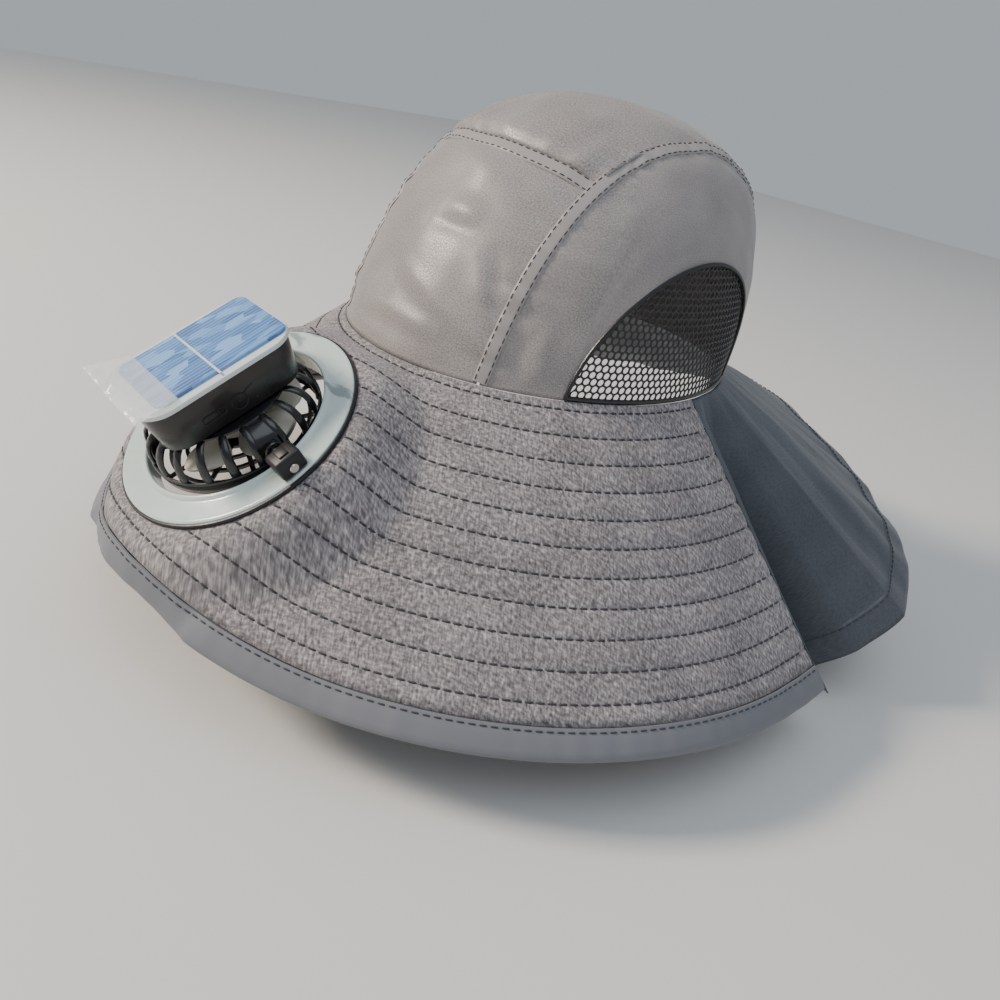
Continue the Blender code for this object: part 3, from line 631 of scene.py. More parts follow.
# Folds pressed or pulled into the crown: from, to, half width and height, in millimetres
CROWN_FOLDS = [
    # x, y, z, to x, to y, to z, half width, height
    (0.0, -89.0, 34.0, 48.0, -80.0, 13.0, 4.0, 2.2),
    (-4.0, -90.0, 28.0, 44.0, -82.0, 6.0, 4.0, -1.8),
    (-17.0, -94.0, 16.0, 27.0, -91.0, 15.0, 3.5, 1.6),
    (-20.0, -95.0, 10.0, 25.0, -92.0, 8.0, 3.5, -1.4),
    (-30.0, -90.0, 24.0, -14.0, -93.0, 34.0, 6.0, -2.4),
    (-34.0, -90.0, 6.0, -4.0, -96.0, 5.0, 3.0, 1.4),
    (20.0, -88.0, 3.0, 44.0, -82.0, 4.0, 3.0, 1.5),
    (4.0, -77.0, 62.0, 26.0, -74.0, 60.0, 5.0, 1.2),
    (0.0, -80.0, 54.0, 26.0, -77.0, 55.0, 4.0, -1.3),
    (36.0, -74.0, 50.0, 47.0, -74.0, 20.0, 3.5, -1.8),
    (30.0, -78.0, 46.0, 42.0, -78.0, 22.0, 4.0, 1.6),
    (56.0, -72.0, 46.0, 60.0, -73.0, 8.0, 3.5, -2.4),
    (62.0, -66.0, 52.0, 66.0, -66.0, 12.0, 3.5, 2.0),
    (68.0, -60.0, 44.0, 60.0, -70.0, 18.0, 3.0, -1.8),
    (70.0, -50.0, 62.0, 68.0, -56.0, 52.0, 3.0, -1.2),
    (-20.0, -60.0, 84.0, 20.0, -66.0, 76.0, 7.0, 1.5),
    (-30.0, -20.0, 104.0, 30.0, 10.0, 109.0, 12.0, 2.0),
    (-35.0, 40.0, 106.0, 30.0, 50.0, 107.0, 10.0, -1.8),
    (60.0, 20.0, 96.0, 66.0, 60.0, 80.0, 8.0, 1.6),
    (-60.0, -10.0, 90.0, -66.0, 50.0, 80.0, 8.0, 1.6),
    (-60.0, -72.0, 12.0, -62.0, -66.0, 46.0, 4.0, -1.8),
    (20.0, 112.0, 40.0, -30.0, 110.0, 60.0, 6.0, 1.8),
]
FOLDS = np.array(CROWN_FOLDS) * MM
TOP_PUFF = 3.4 * MM


def fold_height(point):
    """How far the table's folds lift the cloth at a point."""
    here = np.array(point)
    start, end = FOLDS[:, 0:3], FOLDS[:, 3:6]
    run = end - start
    share = np.clip(((here - start) * run).sum(1) / (run ** 2).sum(1), 0.0, 1.0)
    away = np.linalg.norm(here - start - run * share[:, None], axis=1)
    fade = np.sin(np.pi * np.clip(share, 0.06, 0.94)) ** 0.6
    return float((FOLDS[:, 7] * fade * np.exp(-(away / FOLDS[:, 6]) ** 2)).sum())


def section_angle(point):
    return math.atan2(point.z, SECTION_CENTRE_Y - point.y)


def crown_lift(point, panel):
    """How far the crown's cloth stands out from its smooth shape: folds, puckers at its seams, and a puff."""
    lift = fold_height(point)
    lift += 0.9 * MM * noise.noise(point * 28.0)
    lift += 0.45 * MM * noise.noise(point * 75.0 + Vector((3.0, 1.0, 2.0)))
    turn = section_angle(point)
    reach = math.hypot(point.z, SECTION_CENTRE_Y - point.y)
    from_side = abs(abs(point.x) - SIDE_SEAM_X)
    if abs(point.x) < SIDE_SEAM_X + 22.0 * MM:
        run = turn * reach
        pucker = noise.noise(Vector((run * 150.0, 4.0 * math.copysign(1.0, point.x), from_side * 30.0)))
        lift += (1.5 * pucker - 0.5) * MM * math.exp(-from_side / (9.0 * MM))
    if panel != "side":
        beyond = (turn - gather_angle(point.x)) * reach
        gather = noise.noise(Vector((point.x * 120.0, 7.0, beyond * 16.0)))
        if beyond >= 0.0:
            rise = smoothstep(beyond / (7.0 * MM)) * math.exp(-beyond / (34.0 * MM))
            lift += TOP_PUFF * rise * (1.0 - 0.4 * abs(point.x) / SIDE_SEAM_X)
            lift += 2.6 * MM * gather * math.exp(-beyond / (16.0 * MM)) * smoothstep(beyond / (3.0 * MM))
        else:
            lift += 1.0 * MM * gather * math.exp(beyond / (10.0 * MM))
        lift -= 0.8 * MM * math.exp(-abs(beyond) / (2.5 * MM))
    lift *= smoothstep(point.z / (5.0 * MM) + 0.15)
    return lift


def crown_skin(point, panel):
    return point + crown_normal(point) * crown_lift(point, panel)


def sew_crown(materials):
    half = SIDE_SEAM_X - 0.3 * MM
    nylon = materials["nylon"]
    sheets = []

    def panel(name, start, end, rows):
        def place(u, v):
            x = half * (2.0 * u - 1.0)
            low = start(x)
            return crown_skin(crown_section(x, low + v * (end(x) - low)), "middle")

        mesh = cloth_sheet(name, spread_evenly(0.0, 1.0, 60), spread_evenly(0.0, 1.0, rows), place,
                           lambda u, v: (u * 0.098, v * rows * 1.7 * MM))
        piece = finish_piece(name, mesh, nylon)
        wall(piece, NYLON)
        sheets.append(piece)
        return piece

    front = panel("front_panel", lambda x: 0.0, gather_angle, 60)
    top = panel("top_panel", gather_angle, lambda x: math.pi, 104)
    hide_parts("crown_front_panel")
    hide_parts("crown_top_panel")

    corner = math.asin((SIDE_SEAM_X + 0.3 * MM) / HEAD_HALF_WIDTH) + math.radians(0.3)
    for word, side in (("left", 1.0), ("right", -1.0)):
        def place(u, v, side=side):
            angle = corner + (math.pi - 2.0 * corner) * u
            share = (angle - VENT_MIDDLE) / VENT_HALF_ANGLE
            low = vent_top(angle) if abs(share) < 1.0 else 0.0
            high = seam_height(angle)
            point = crown_at(angle, low + v * (high - low))
            return crown_skin(Vector((side * point.x, point.y, point.z)), "side")

        ends = spread_evenly(0.0, 1.0, 22)
        front_end = (VENT_MIDDLE - VENT_HALF_ANGLE - corner) / (math.pi - 2.0 * corner)
        back_end = 1.0 - front_end
        arch = [0.5 - (0.5 - front_end) * math.cos(math.pi * i / 60.0) for i in range(1, 60)]
        us = [front_end * e for e in ends] + arch + [back_end + (1.0 - back_end) * e for e in ends]
        mesh = cloth_sheet("side_panel_" + word, us, spread_evenly(0.0, 1.0, 48), place,
                           lambda u, v: (u * 0.19, v * 0.1), flip=side < 0)
        piece = finish_piece("side_panel_" + word, mesh, nylon, replaced=("crown_side_" + word,))
        wall(piece, NYLON)


def band_section(width, height):
    """A flat felled seam: a low band with soft shoulders."""
    half = width / 2.0
    top = [(-half, 0.0), (-half * 0.86, height * 0.8), (-half * 0.5, height), (0.0, height * 0.85),
           (half * 0.5, height), (half * 0.86, height * 0.8), (half, 0.0)]
    return top + [(half * 0.8, -0.8 * MM), (-half * 0.8, -0.8 * MM)]


def sew_seams(materials):
    """Felled seams with two rows of stitches: one over each side, and one across the front of the top."""
    threads = bmesh.new()

    def seam(name, places):
        build = bmesh.new()
        section = band_section(SEAM_BAND, 0.75 * MM)
        sweep(build, places, lambda share: section)
        mesh = to_mesh(build, name, 60.0)
        piece = finish_piece(name, mesh, materials["seam"])
        for shift in (-0.36, 0.36):
            row = []
            last = len(places) - 1
            for i, (point, up) in enumerate(places):
                along = (places[min(i + 1, last)][0] - places[max(i - 1, 0)][0]).normalized()
                across = along.cross(up).normalized()
                row.append((point + across * shift * SEAM_BAND + up * 0.62 * MM, up))
            sew(threads, row, 2.6 * MM, 0.9 * MM, 0.26 * MM)
        return piece

    seams = []
    for word, side in (("left", 1.0), ("right", -1.0)):
        places = []
        for i in range(181):
            turn = math.radians(0.6) + math.radians(178.8) * i / 180.0
            point = crown_section(side * (SIDE_SEAM_X + 0.6 * MM), turn)
            normal = crown_normal(point)
            lift = crown_lift(point, "side") + 0.25 * MM
            places.append((point + normal * lift, normal))
        seams.append(seam("side_seam_" + word, places))
    places = []
    for i in range(91):
        x = SIDE_SEAM_X * (2.0 * i / 90.0 - 1.0) * 0.985
        point = crown_section(x, gather_angle(x) - 2.6 * MM / 90.0 / MM)
        normal = crown_normal(point)
        places.append((point + normal * (crown_lift(point, "middle") + 0.2 * MM), normal))
    seams.append(seam("gather_seam", places))
    finish_piece("crown_stitches", to_mesh(threads, "crown_stitches"), materials["dark_thread"])


def knit_net(materials):
    """Net vents: six-sided holes knitted from glossy cord, in an arch over each ear."""
    across = NET_PITCH
    down = NET_PITCH * 0.866
    around = VENT_HALF_ANGLE * HEAD_HALF_LENGTH * 0.985

    def settle(s, z):
        """Keeps a place of the net inside the arch."""
        s = min(max(s, -around), around)
        share = s / around
        top = (VENT_HEIGHT - 0.2 * MM) * math.sqrt(max(0.0, 1.0 - share * share))
        return s, min(max(z, 0.0), top)

    for word, side in (("left", 1.0), ("right", -1.0)):
        build = bmesh.new()
        corners = {}

        def corner_at(s, z, side=side):
            s, z = settle(s, z)
            key = (round(s / (0.05 * MM)), round(z / (0.05 * MM)))
            if key not in corners:
                angle = VENT_MIDDLE + s / around * VENT_HALF_ANGLE
                point = crown_at(angle, z)
                point = Vector((side * point.x, point.y, point.z))
                sag = 1.2 * MM * math.sin(math.pi * min(z / VENT_HEIGHT, 1.0)) * (1.0 - (s / around) ** 2)
                point -= crown_normal(point) * (0.6 * MM + sag)
                corners[key] = build.verts.new(point)
            return corners[key]

        rows = int(VENT_HEIGHT / down) + 2
        columns = int(2.0 * around / across) + 3
        for j in range(rows):
            for i in range(columns):
                s = -around + (i + 0.5 * (j % 2)) * across - 0.5 * across
                z = j * down
                if abs(s) > around + across * 0.4:
                    continue
                if z > VENT_HEIGHT * math.sqrt(max(0.0, 1.0 - min(abs(s) / around, 1.0) ** 2)) + down * 0.5:
                    continue
                loop = []
                for k in range(6):
                    turn = math.pi / 6.0 + k * math.pi / 3.0
                    vert = corner_at(s + across * 0.577 * math.cos(turn), z + across * 0.577 * math.sin(turn))
                    if vert not in loop:
                        loop.append(vert)
                if len(loop) >= 3:
                    try:
                        build.faces.new(loop)
                    except ValueError:
                        continue
        name = "net_" + word
        mesh = bpy.data.meshes.new(name)
        bmesh.ops.dissolve_degenerate(build, edges=build.edges, dist=0.2 * MM)
        build.to_mesh(mesh)
        build.free()
        piece = finish_piece(name, mesh, materials["net"], replaced=("mesh_" + word,))
        lattice = piece.modifiers.new("cords", "WIREFRAME")
        lattice.thickness = NET_CORD
        lattice.use_even_offset = False
        lattice.use_boundary = True
        lattice.use_replace = True
        round_off = piece.modifiers.new("round", "SUBSURF")
        round_off.levels = 1
        bake(piece)
        piece.data.shade_smooth()
        edge = []
        for i in range(121):
            turn = math.pi * i / 120.0
            angle = VENT_MIDDLE - VENT_HALF_ANGLE * math.cos(turn)
            point = crown_at(angle, VENT_HEIGHT * math.sin(turn))
            point = Vector((side * point.x, point.y, point.z))
            normal = crown_normal(point)
            edge.append((point + normal * 0.15 * MM, normal))
        build = bmesh.new()
        section = round_section(0.95 * MM, 8, 0.75)
        sweep(build, edge, lambda share: section)
        base = []
        for i in range(81):
            angle = VENT_MIDDLE + VENT_HALF_ANGLE * (2.0 * i / 80.0 - 1.0)
            point = crown_at(angle, 1.2 * MM)
            point = Vector((side * point.x, point.y, point.z))
            base.append((point, crown_normal(point)))
        sweep(build, base, lambda share: section)
        finish_piece("vent_edge_" + word, to_mesh(build, "vent_edge_" + word), materials["net"])


# Brim

def quilt(reach):
    """Height of the brim's soft face: sunk at each stitch row, full between them."""
    share = (reach - STITCH_FIRST) / STITCH_PITCH
    return 0.75 * MM * (abs(math.sin(math.pi * share)) ** 0.55) - 0.55 * MM


def from_ring_axis(point):
    outward, face = ring_axes()
    away = point - RING_PLACE
    return math.hypot(away.x, away.dot(outward))


def brim_top(angle, reach, lift=0.0):
    height = quilt(reach) + 0.35 * MM * noise.noise(Vector((angle * 9.0, reach * 40.0, 2.0))) + lift
    point = brim_point(angle, reach)
    hold = smoothstep((from_ring_axis(point) - RING_RADIUS + 1.0 * MM) / (3.0 * MM))
    return point + brim_normal(angle, reach) * (height * hold - 0.1 * MM * (1.0 - hold))


def quilt_brim(materials):
    """The brim: foam between two heather faces, quilted with evenly spaced rows."""
    reaches = [GAP]
    for k in range(STITCH_ROWS + 1):
        row = STITCH_FIRST + k * STITCH_PITCH
        for step in (-4.2, -2.6, -1.3, -0.6, 0.0, 0.6, 1.3, 2.6, 4.2):
            reach = row + step * MM
            if reaches[-1] + 0.3 * MM < reach < BRIM_TO_BINDING - 0.4 * MM:
                reaches.append(reach)
    reaches.append(BRIM_TO_BINDING)
    turn = CAMERA_TURN

    def place(u, v):
        point = brim_top(BRIM_END * (1.0 - 2.0 * u), reaches[v])
        radius = from_ring_axis(point)
        hole = DUCT_RADIUS + DUCT_WALL + 0.4 * MM
        if radius < hole + 2.0 * MM:
            outward, face = ring_axes()
            away = point - RING_PLACE
            flat = Vector((away.x, away.dot(outward)))
            moved = flat.normalized() * max(radius, hole)
            point = point + Vector((1.0, 0.0, 0.0)) * (moved.x - flat.x) + outward * (moved.y - flat.y)
        return point

    def threads(u, v):
        point = brim_point(BRIM_END * (1.0 - 2.0 * u), reaches[v])
        slope_y = point.y * 1.2
        return (point.x * math.cos(turn) + slope_y * math.sin(turn), slope_y * math.cos(turn) - point.x * math.sin(turn))

    def in_hole(corners):
        return max(from_ring_axis(corner) for corner in corners) < DUCT_RADIUS + DUCT_WALL + 0.6 * MM

    mesh = cloth_sheet("brim_cloth", spread_evenly(0.0, 1.0, 320), range(len(reaches)), place, threads, skip=in_hole)
    brim = finish_piece("brim_cloth", mesh, materials["heather"], replaced=("brim",))
    wall(brim, BRIM_CLOTH)

    threads_build = bmesh.new()
    for k in range(STITCH_ROWS):
        reach = STITCH_FIRST + k * STITCH_PITCH
        row = []
        count = int(260 + 14 * k)
        for i in range(count + 1):
            angle = BRIM_END * 0.996 * (2.0 * i / count - 1.0)
            point = brim_top(angle, reach)
            if from_ring_axis(point) < RING_RADIUS + 0.6 * MM:
                if len(row) > 8:
                    sew(threads_build, row, STITCH_LENGTH, STITCH_GAP, 0.42 * MM, 0.12 * MM)
                row = []
                continue
            row.append((point, brim_normal(angle, reach)))
        if len(row) > 8:
            sew(threads_build, row, STITCH_LENGTH, STITCH_GAP, 0.42 * MM, 0.12 * MM)
    stitches = to_mesh(threads_build, "brim_stitches")
    finish_piece("brim_stitches", stitches, materials["dark_thread"])


def bind_brim(materials):
    """Tape folded over the brim's edge and stitched down near its inner side."""
    half = BRIM_CLOTH / 2.0
    build = bmesh.new()
    section = [(0.0, 0.25), (0.25, 0.95), (1.2, 1.15), (1.9, 0.95), (2.7, 1.1), (5.0, 1.05), (8.5, 0.9), (10.4, 0.55),
               (11.3, -0.1), (11.75, -1.0), (11.3, -1.9), (10.2, -2.6), (6.0, -2.9), (0.6, -2.9), (0.0, -2.4),
               (0.6, -2.3), (6.0, -2.3), (9.9, -2.0), (10.8, -1.6), (11.1, -1.0), (10.8, -0.4), (10.1, 0.1),
               (8.4, 0.35), (5.0, 0.45), (1.4, 0.5)]
    places = []
    row = []
    count = 420
    for i in range(count + 1):
        angle = BRIM_END * (2.0 * i / count - 1.0)
        ripple = 0.35 * MM * noise.noise(Vector((angle * 24.0, 5.0, 1.0)))
        point = brim_point(angle, BRIM_TO_BINDING + GAP)
        up = brim_normal(angle, BRIM_TO_BINDING)
        places.append((point + up * ripple, up))
        row.append((brim_point(angle, BRIM_TO_BINDING + 1.9 * MM) + up * (ripple + 0.95 * MM), up))
    sweep(build, places, lambda share: [(a * MM, h * MM) for a, h in section])
    mesh = to_mesh(build, "edge_tape", 50.0)
    tape = finish_piece("edge_tape", mesh, materials["tape"], replaced=("brim_binding",))
    stitches = bmesh.new()
    sew(stitches, row, 3.0 * MM, 1.0 * MM, 0.32 * MM, 0.05 * MM)
    finish_piece("tape_stitches", to_mesh(stitches, "tape_stitches"), materials["dark_thread"])


# Neck flap

def flap_top(angle, reach):
    """The neck flap's cloth, with its soft folds fanning out from the seam."""
    turn = angle if angle <= math.pi else 2.0 * math.pi - angle
    point = flap_point(turn, reach)
    if angle > math.pi:
        point.x = -point.x
    share = reach / BRIM_WIDTH
    away_from_ends = smoothstep((turn - math.radians(104.0)) / math.radians(14.0))
    wave = noise.noise(Vector((angle * 3.2, share * 0.7, 9.0))) * 6.0 * share * away_from_ends
    wave += noise.noise(Vector((angle * 9.0, share * 2.2, 3.0))) * 2.0 * (0.3 + share) * away_from_ends
    wave += noise.noise(Vector((angle * 22.0, share * 5.0, 6.0))) * 0.5
    hem = 0.5 if reach > BRIM_WIDTH * FLAP_LENGTH_SHARE - FLAP_HEM else 0.0
    return point + UP * (wave * MM * smoothstep(reach / (12.0 * MM)) + hem * MM)


def hang_flap(materials):
    start = BRIM_END + 2.0 * GAP / HEAD_HALF_LENGTH
    length = BRIM_WIDTH * FLAP_LENGTH_SHARE
    ends = [i * 0.3 for i in range(40)]
    span = math.degrees(2.0 * math.pi - 2.0 * start)
    middle = spread_evenly(12.0, span - 12.0, 190)
    angles = ends + middle + [span - e for e in reversed(ends)]
    us = [start + math.radians(a) for a in reversed(angles)]
    vs = [GAP + length * v for v in spread_evenly(0.0, 1.0, 64)]
    vs += [GAP + length - FLAP_HEM - 0.3 * MM, GAP + length - FLAP_HEM + 0.3 * MM]
    vs = sorted(vs)
    mesh = cloth_sheet("flap_cloth", us, vs, flap_top, lambda a, r: (a * (0.09 + r), r))
    flap = finish_piece("flap_cloth", mesh, materials["flap"], replaced=("neck_flap",))
    wall(flap, 0.6 * MM)
    row = []
    for i in range(301):
        angle = start + (2.0 * math.pi - 2.0 * start) * i / 300.0
        reach = GAP + length - FLAP_HEM + 1.2 * MM
        row.append((flap_top(angle, reach) + UP * 0.1 * MM, UP))
    build = bmesh.new()
    sew(build, row, 3.0 * MM, 1.0 * MM, 0.3 * MM, 0.05 * MM)
    finish_piece("hem_stitches", to_mesh(build, "hem_stitches"), materials["dark_thread"])


# Fan

def turned(build, profile, segments=144):
    """A closed outline of radius and height turned about Z."""
    rings = []
    for i in range(segments):
        turn = 2.0 * math.pi * i / segments
        rings.append([build.verts.new((r * math.cos(turn), r * math.sin(turn), h)) for r, h in profile])
    size = len(profile)
    for i in range(segments):
        low, top = rings[i], rings[(i + 1) % segments]
        for k in range(size):
            build.faces.new((low[k], low[(k + 1) % size], top[(k + 1) % size], top[k]))


def ring_frame():
    return Matrix.Translation(RING_PLACE) @ Matrix.Rotation(RING_SLOPE, 4, "X")


def fan_frame():
    centre = RING_PLACE + ring_axes()[1] * PIVOT_HEIGHT
    return Matrix.Translation(centre) @ Matrix.Rotation(RING_SLOPE - FAN_TILT, 4, "X")


def mm_pairs(pairs):
    return [(a * MM, b * MM) for a, b in pairs]


def mould_ring(materials):
    """The ring that clamps the fan to the brim: a flat flange with soft edges and a raised lip."""
    build = bmesh.new()
    hole = DUCT_RADIUS / MM
    turned(build, mm_pairs([
        (hole, -8.0), (hole + 2.0, -8.0), (hole + 2.0, -2.4), (49.2, -2.4), (49.8, -1.9), (50.0, -1.2), (49.85, -0.5),
        (49.4, -0.1), (48.7, 0.0), (hole + 3.2, 0.0), (hole + 2.5, 0.15), (hole + 2.1, 0.6), (hole + 1.7, 1.2), (hole + 1.2, 1.45),
        (hole + 0.6, 1.4), (hole + 0.15, 1.0), (hole, 0.4)]))
    mesh = to_mesh(build, "clamp_ring", 35.0, ring_frame())
    finish_piece("clamp_ring", mesh, materials["ring"], replaced=("fan_ring",))
    # A black band round the ring's outer edge, where a dark line runs along it.
    build = bmesh.new()
    turned(build, mm_pairs([(49.9, -2.6), (50.9, -2.5), (51.0, -1.7), (50.6, -1.0), (50.1, -0.9)]), 160)
    finish_piece("ring_black_edge_band", to_mesh(build, "ring_black_edge_band", 40.0, ring_frame()), materials["black"])


def bar(build, length, width, height, middle, bevel, segments=2, turn=None):
    """A bar with its edges rounded."""
    part = bmesh.new()
    bmesh.ops.create_cube(part, size=1.0)
    bmesh.ops.scale(part, vec=(length, width, height), verts=part.verts)
    bmesh.ops.bevel(part, geom=part.edges[:], offset=bevel, segments=segments, affect="EDGES", profile=0.5)
    bmesh.ops.translate(part, vec=middle, verts=part.verts)
    if turn:
        bmesh.ops.transform(part, matrix=turn, verts=part.verts)
    join(build, part)


def join(build, part):
    mesh = bpy.data.meshes.new("part")
    part.to_mesh(mesh)
    part.free()
    build.from_mesh(mesh)
    bpy.data.meshes.remove(mesh)


def rod(build, radius, start, end, height=0.0, segments=24, chamfer=0.25 * MM):
    """A round rod along X with chamfered ends."""
    low, high = sorted((start, end))
    rings = []
    for x, r in ((low, radius - chamfer), (low + chamfer, radius), (high - chamfer, radius), (high, radius - chamfer)):
        turns = [2.0 * math.pi * k / segments for k in range(segments)]
        rings.append([build.verts.new((x, r * math.cos(t), height + r * math.sin(t))) for t in turns])
    for a, b in zip(rings, rings[1:]):
        for k in range(segments):
            build.faces.new((a[k], a[(k + 1) % segments], b[(k + 1) % segments], b[k]))
    build.faces.new(rings[0][::-1])
    build.faces.new(rings[-1])


def mould_blocks(materials):
    """Pivot blocks on the flange, with the knuckles and steel pins that carry the cage."""
    near = DUCT_RADIUS + LIP_WIDTH + GAP
    for word, side in (("left", 1.0), ("right", -1.0)):
        build = bmesh.new()
        bar(build, 9.0 * MM, 11.0 * MM, 8.6 * MM, (side * (near + 4.5 * MM), 0.0, 4.6 * MM), 1.3 * MM, 3)
        bar(build, 5.5 * MM, 4.0 * MM, 1.0 * MM, (side * (near + 4.5 * MM), 0.0, 9.2 * MM), 0.4 * MM, 2)
        rod(build, 3.1 * MM, side * (near - 1.6 * MM), side * (near + 1.0 * MM), PIVOT_HEIGHT, 32, 0.5 * MM)
        finish_piece("block_" + word, to_mesh(build, "block_" + word, 35.0, ring_frame()), materials["black"],
                     replaced=("pivot_block_" + word,))
        build = bmesh.new()
        rod(build, 1.6 * MM, side * (CAGE_RADIUS - 1.9 * MM), side * (near + 0.3 * MM), PIVOT_HEIGHT)
        for turn_of_spring in range(3):
            start = near - (3.6 - turn_of_spring) * MM
            rod(build, 2.3 * MM, side * start, side * (start + 0.7 * MM), PIVOT_HEIGHT, 24, 0.3 * MM)
        rod(build, 1.8 * MM, side * (near + 8.8 * MM), side * (near + 9.6 * MM), PIVOT_HEIGHT)
        finish_piece("pin_" + word, to_mesh(build, "pin_" + word, 35.0, ring_frame()), materials["steel"])


# Outline of the cage's ribs, from the top disc to the lower ring
RIB_PROFILE = [
    # radius, height
    (22.5, 9.1),
    (26.0, 8.9),
    (29.0, 8.1),
    (31.4, 6.6),
    (33.2, 4.6),
    (34.2, 2.2),
    (34.7, -0.4),
    (34.8, -3.0),
    (34.3, -5.4),
]


def mould_cage(materials):
    """The fan's cage: broad curved ribs from a top disc to a lower ring, cheeks at the pivots, and a grille."""
    build = bmesh.new()
    last = len(RIB_PROFILE) - 1
    for i in range(CAGE_RIBS):
        turn = Matrix.Rotation(2.0 * math.pi * (i + 0.5) / CAGE_RIBS, 4, "Z")
        places = []
        for k, (radius, height) in enumerate(RIB_PROFILE):
            before, after = RIB_PROFILE[max(k - 1, 0)], RIB_PROFILE[min(k + 1, last)]
            out = Vector((before[1] - after[1], 0.0, after[0] - before[0])).normalized()
            places.append((turn @ Vector((radius - 0.9, 0.0, height)) * MM, turn.to_3x3() @ out))
        sweep(build, places, lambda share: round_section((1.5 + 0.55 * share) * MM, 12, 0.5))
    turned(build, mm_pairs([(32.4, -10.0), (33.6, -10.0), (34.3, -9.4), (35.0, -5.6), (35.2, -4.0), (34.9, -3.5),
                            (34.3, -3.4), (33.9, -3.8), (33.2, -8.8)]), 144)
    turned(build, mm_pairs([(0.4, 8.4), (25.2, 8.4), (25.8, 8.8), (25.6, 9.5), (25.0, 9.8), (0.4, 9.8)]), 96)
    for radius in (9.0, 15.6, 22.2, 28.8):
        turned(build, mm_pairs([(radius - 0.8, -9.9), (radius + 0.8, -9.9), (radius + 0.8, -8.7), (radius - 0.8, -8.7)]), 72)
    turned(build, mm_pairs([(0.3, -9.9), (8.6, -9.9), (8.6, -8.7), (0.3, -8.7)]), 48)
    for i in range(10):
        turn = Matrix.Rotation(2.0 * math.pi * (i + 0.5) / 10.0, 4, "Z")
        bar(build, 25.0 * MM, 2.0 * MM, 1.3 * MM, (20.8 * MM, 0.0, -9.2 * MM), 0.3 * MM, 1, turn)
    for side in (1.0, -1.0):
        cheek = bmesh.new()
        wide = 8
        for k in range(1, last + 1):
            for u in range(wide + 1):
                turn = math.radians(22.0 * (u / wide - 0.5))
                out = (RIB_PROFILE[k][0] - 0.3) * MM
                cheek.verts.new((side * out * math.cos(turn), out * math.sin(turn), RIB_PROFILE[k][1] * MM))
        cheek.verts.ensure_lookup_table()
        for k in range(last - 1):
            for u in range(wide):
                a = k * (wide + 1) + u
                cheek.faces.new([cheek.verts[m] for m in (a, a + wide + 1, a + wide + 2, a + 1)])
        bmesh.ops.recalc_face_normals(cheek, faces=cheek.faces)
        bmesh.ops.solidify(cheek, geom=cheek.faces[:] + cheek.edges[:] + cheek.verts[:], thickness=1.2 * MM)
        join(build, cheek)
        rod(build, 3.8 * MM, side * 33.6 * MM, side * 35.8 * MM, 0.0, 32, 0.4 * MM)
    mesh = to_mesh(build, "cage", 40.0, fan_frame())
    finish_piece("cage", mesh, materials["gloss_black"], body="fan_unit", replaced=("fan_cage",))


def mould_rotor(materials):
    """The rotor: a hub with a rounded edge and five broad curved blades that nearly fill the cage."""
    build = bmesh.new()
    turned(build, mm_pairs([(0.3, -6.1), (7.6, -6.1), (8.4, -5.7), (8.7, -4.8), (10.0, 0.1), (9.7, 0.6), (9.2, 0.7), (0.3, 0.7)]), 72)
    steps, wide = 12, 14
    for i in range(BLADES):
        blade = bmesh.new()
        for j in range(steps + 1):
            share = j / steps
            radius = (8.4 + (ROTOR_RADIUS / MM - 8.4) * share) * MM
            spread = math.radians(40.0 + 24.0 * math.sin(math.pi * (0.1 + 0.75 * share)))
            for k in range(wide + 1):
                w = k / wide - 0.5
                rounding = 1.0 - 0.10 * (2.0 * w) ** 4 * share
                height = (-2.9 + 4.6 * w + 1.1 * (1.0 - 4.0 * w * w)) * MM
                turn = w * spread + 0.30 * share
                reach = radius * rounding
                blade.verts.new((reach * math.cos(turn), reach * math.sin(turn), height))
        blade.verts.ensure_lookup_table()
        for j in range(steps):
            for k in range(wide):
                a = j * (wide + 1) + k
                blade.faces.new([blade.verts[m] for m in (a, a + wide + 1, a + wide + 2, a + 1)])
        bmesh.ops.recalc_face_normals(blade, faces=blade.faces)
        bmesh.ops.solidify(blade, geom=blade.faces[:] + blade.edges[:] + blade.verts[:], thickness=1.0 * MM)
        bmesh.ops.transform(blade, matrix=Matrix.Rotation(2.0 * math.pi * i / BLADES, 4, "Z"), verts=blade.verts)
        join(build, blade)
    mesh = to_mesh(build, "rotor_blades", 40.0, fan_frame())
    finish_piece("rotor_blades", mesh, materials["cream"], body="rotor", replaced=("fan_rotor",))


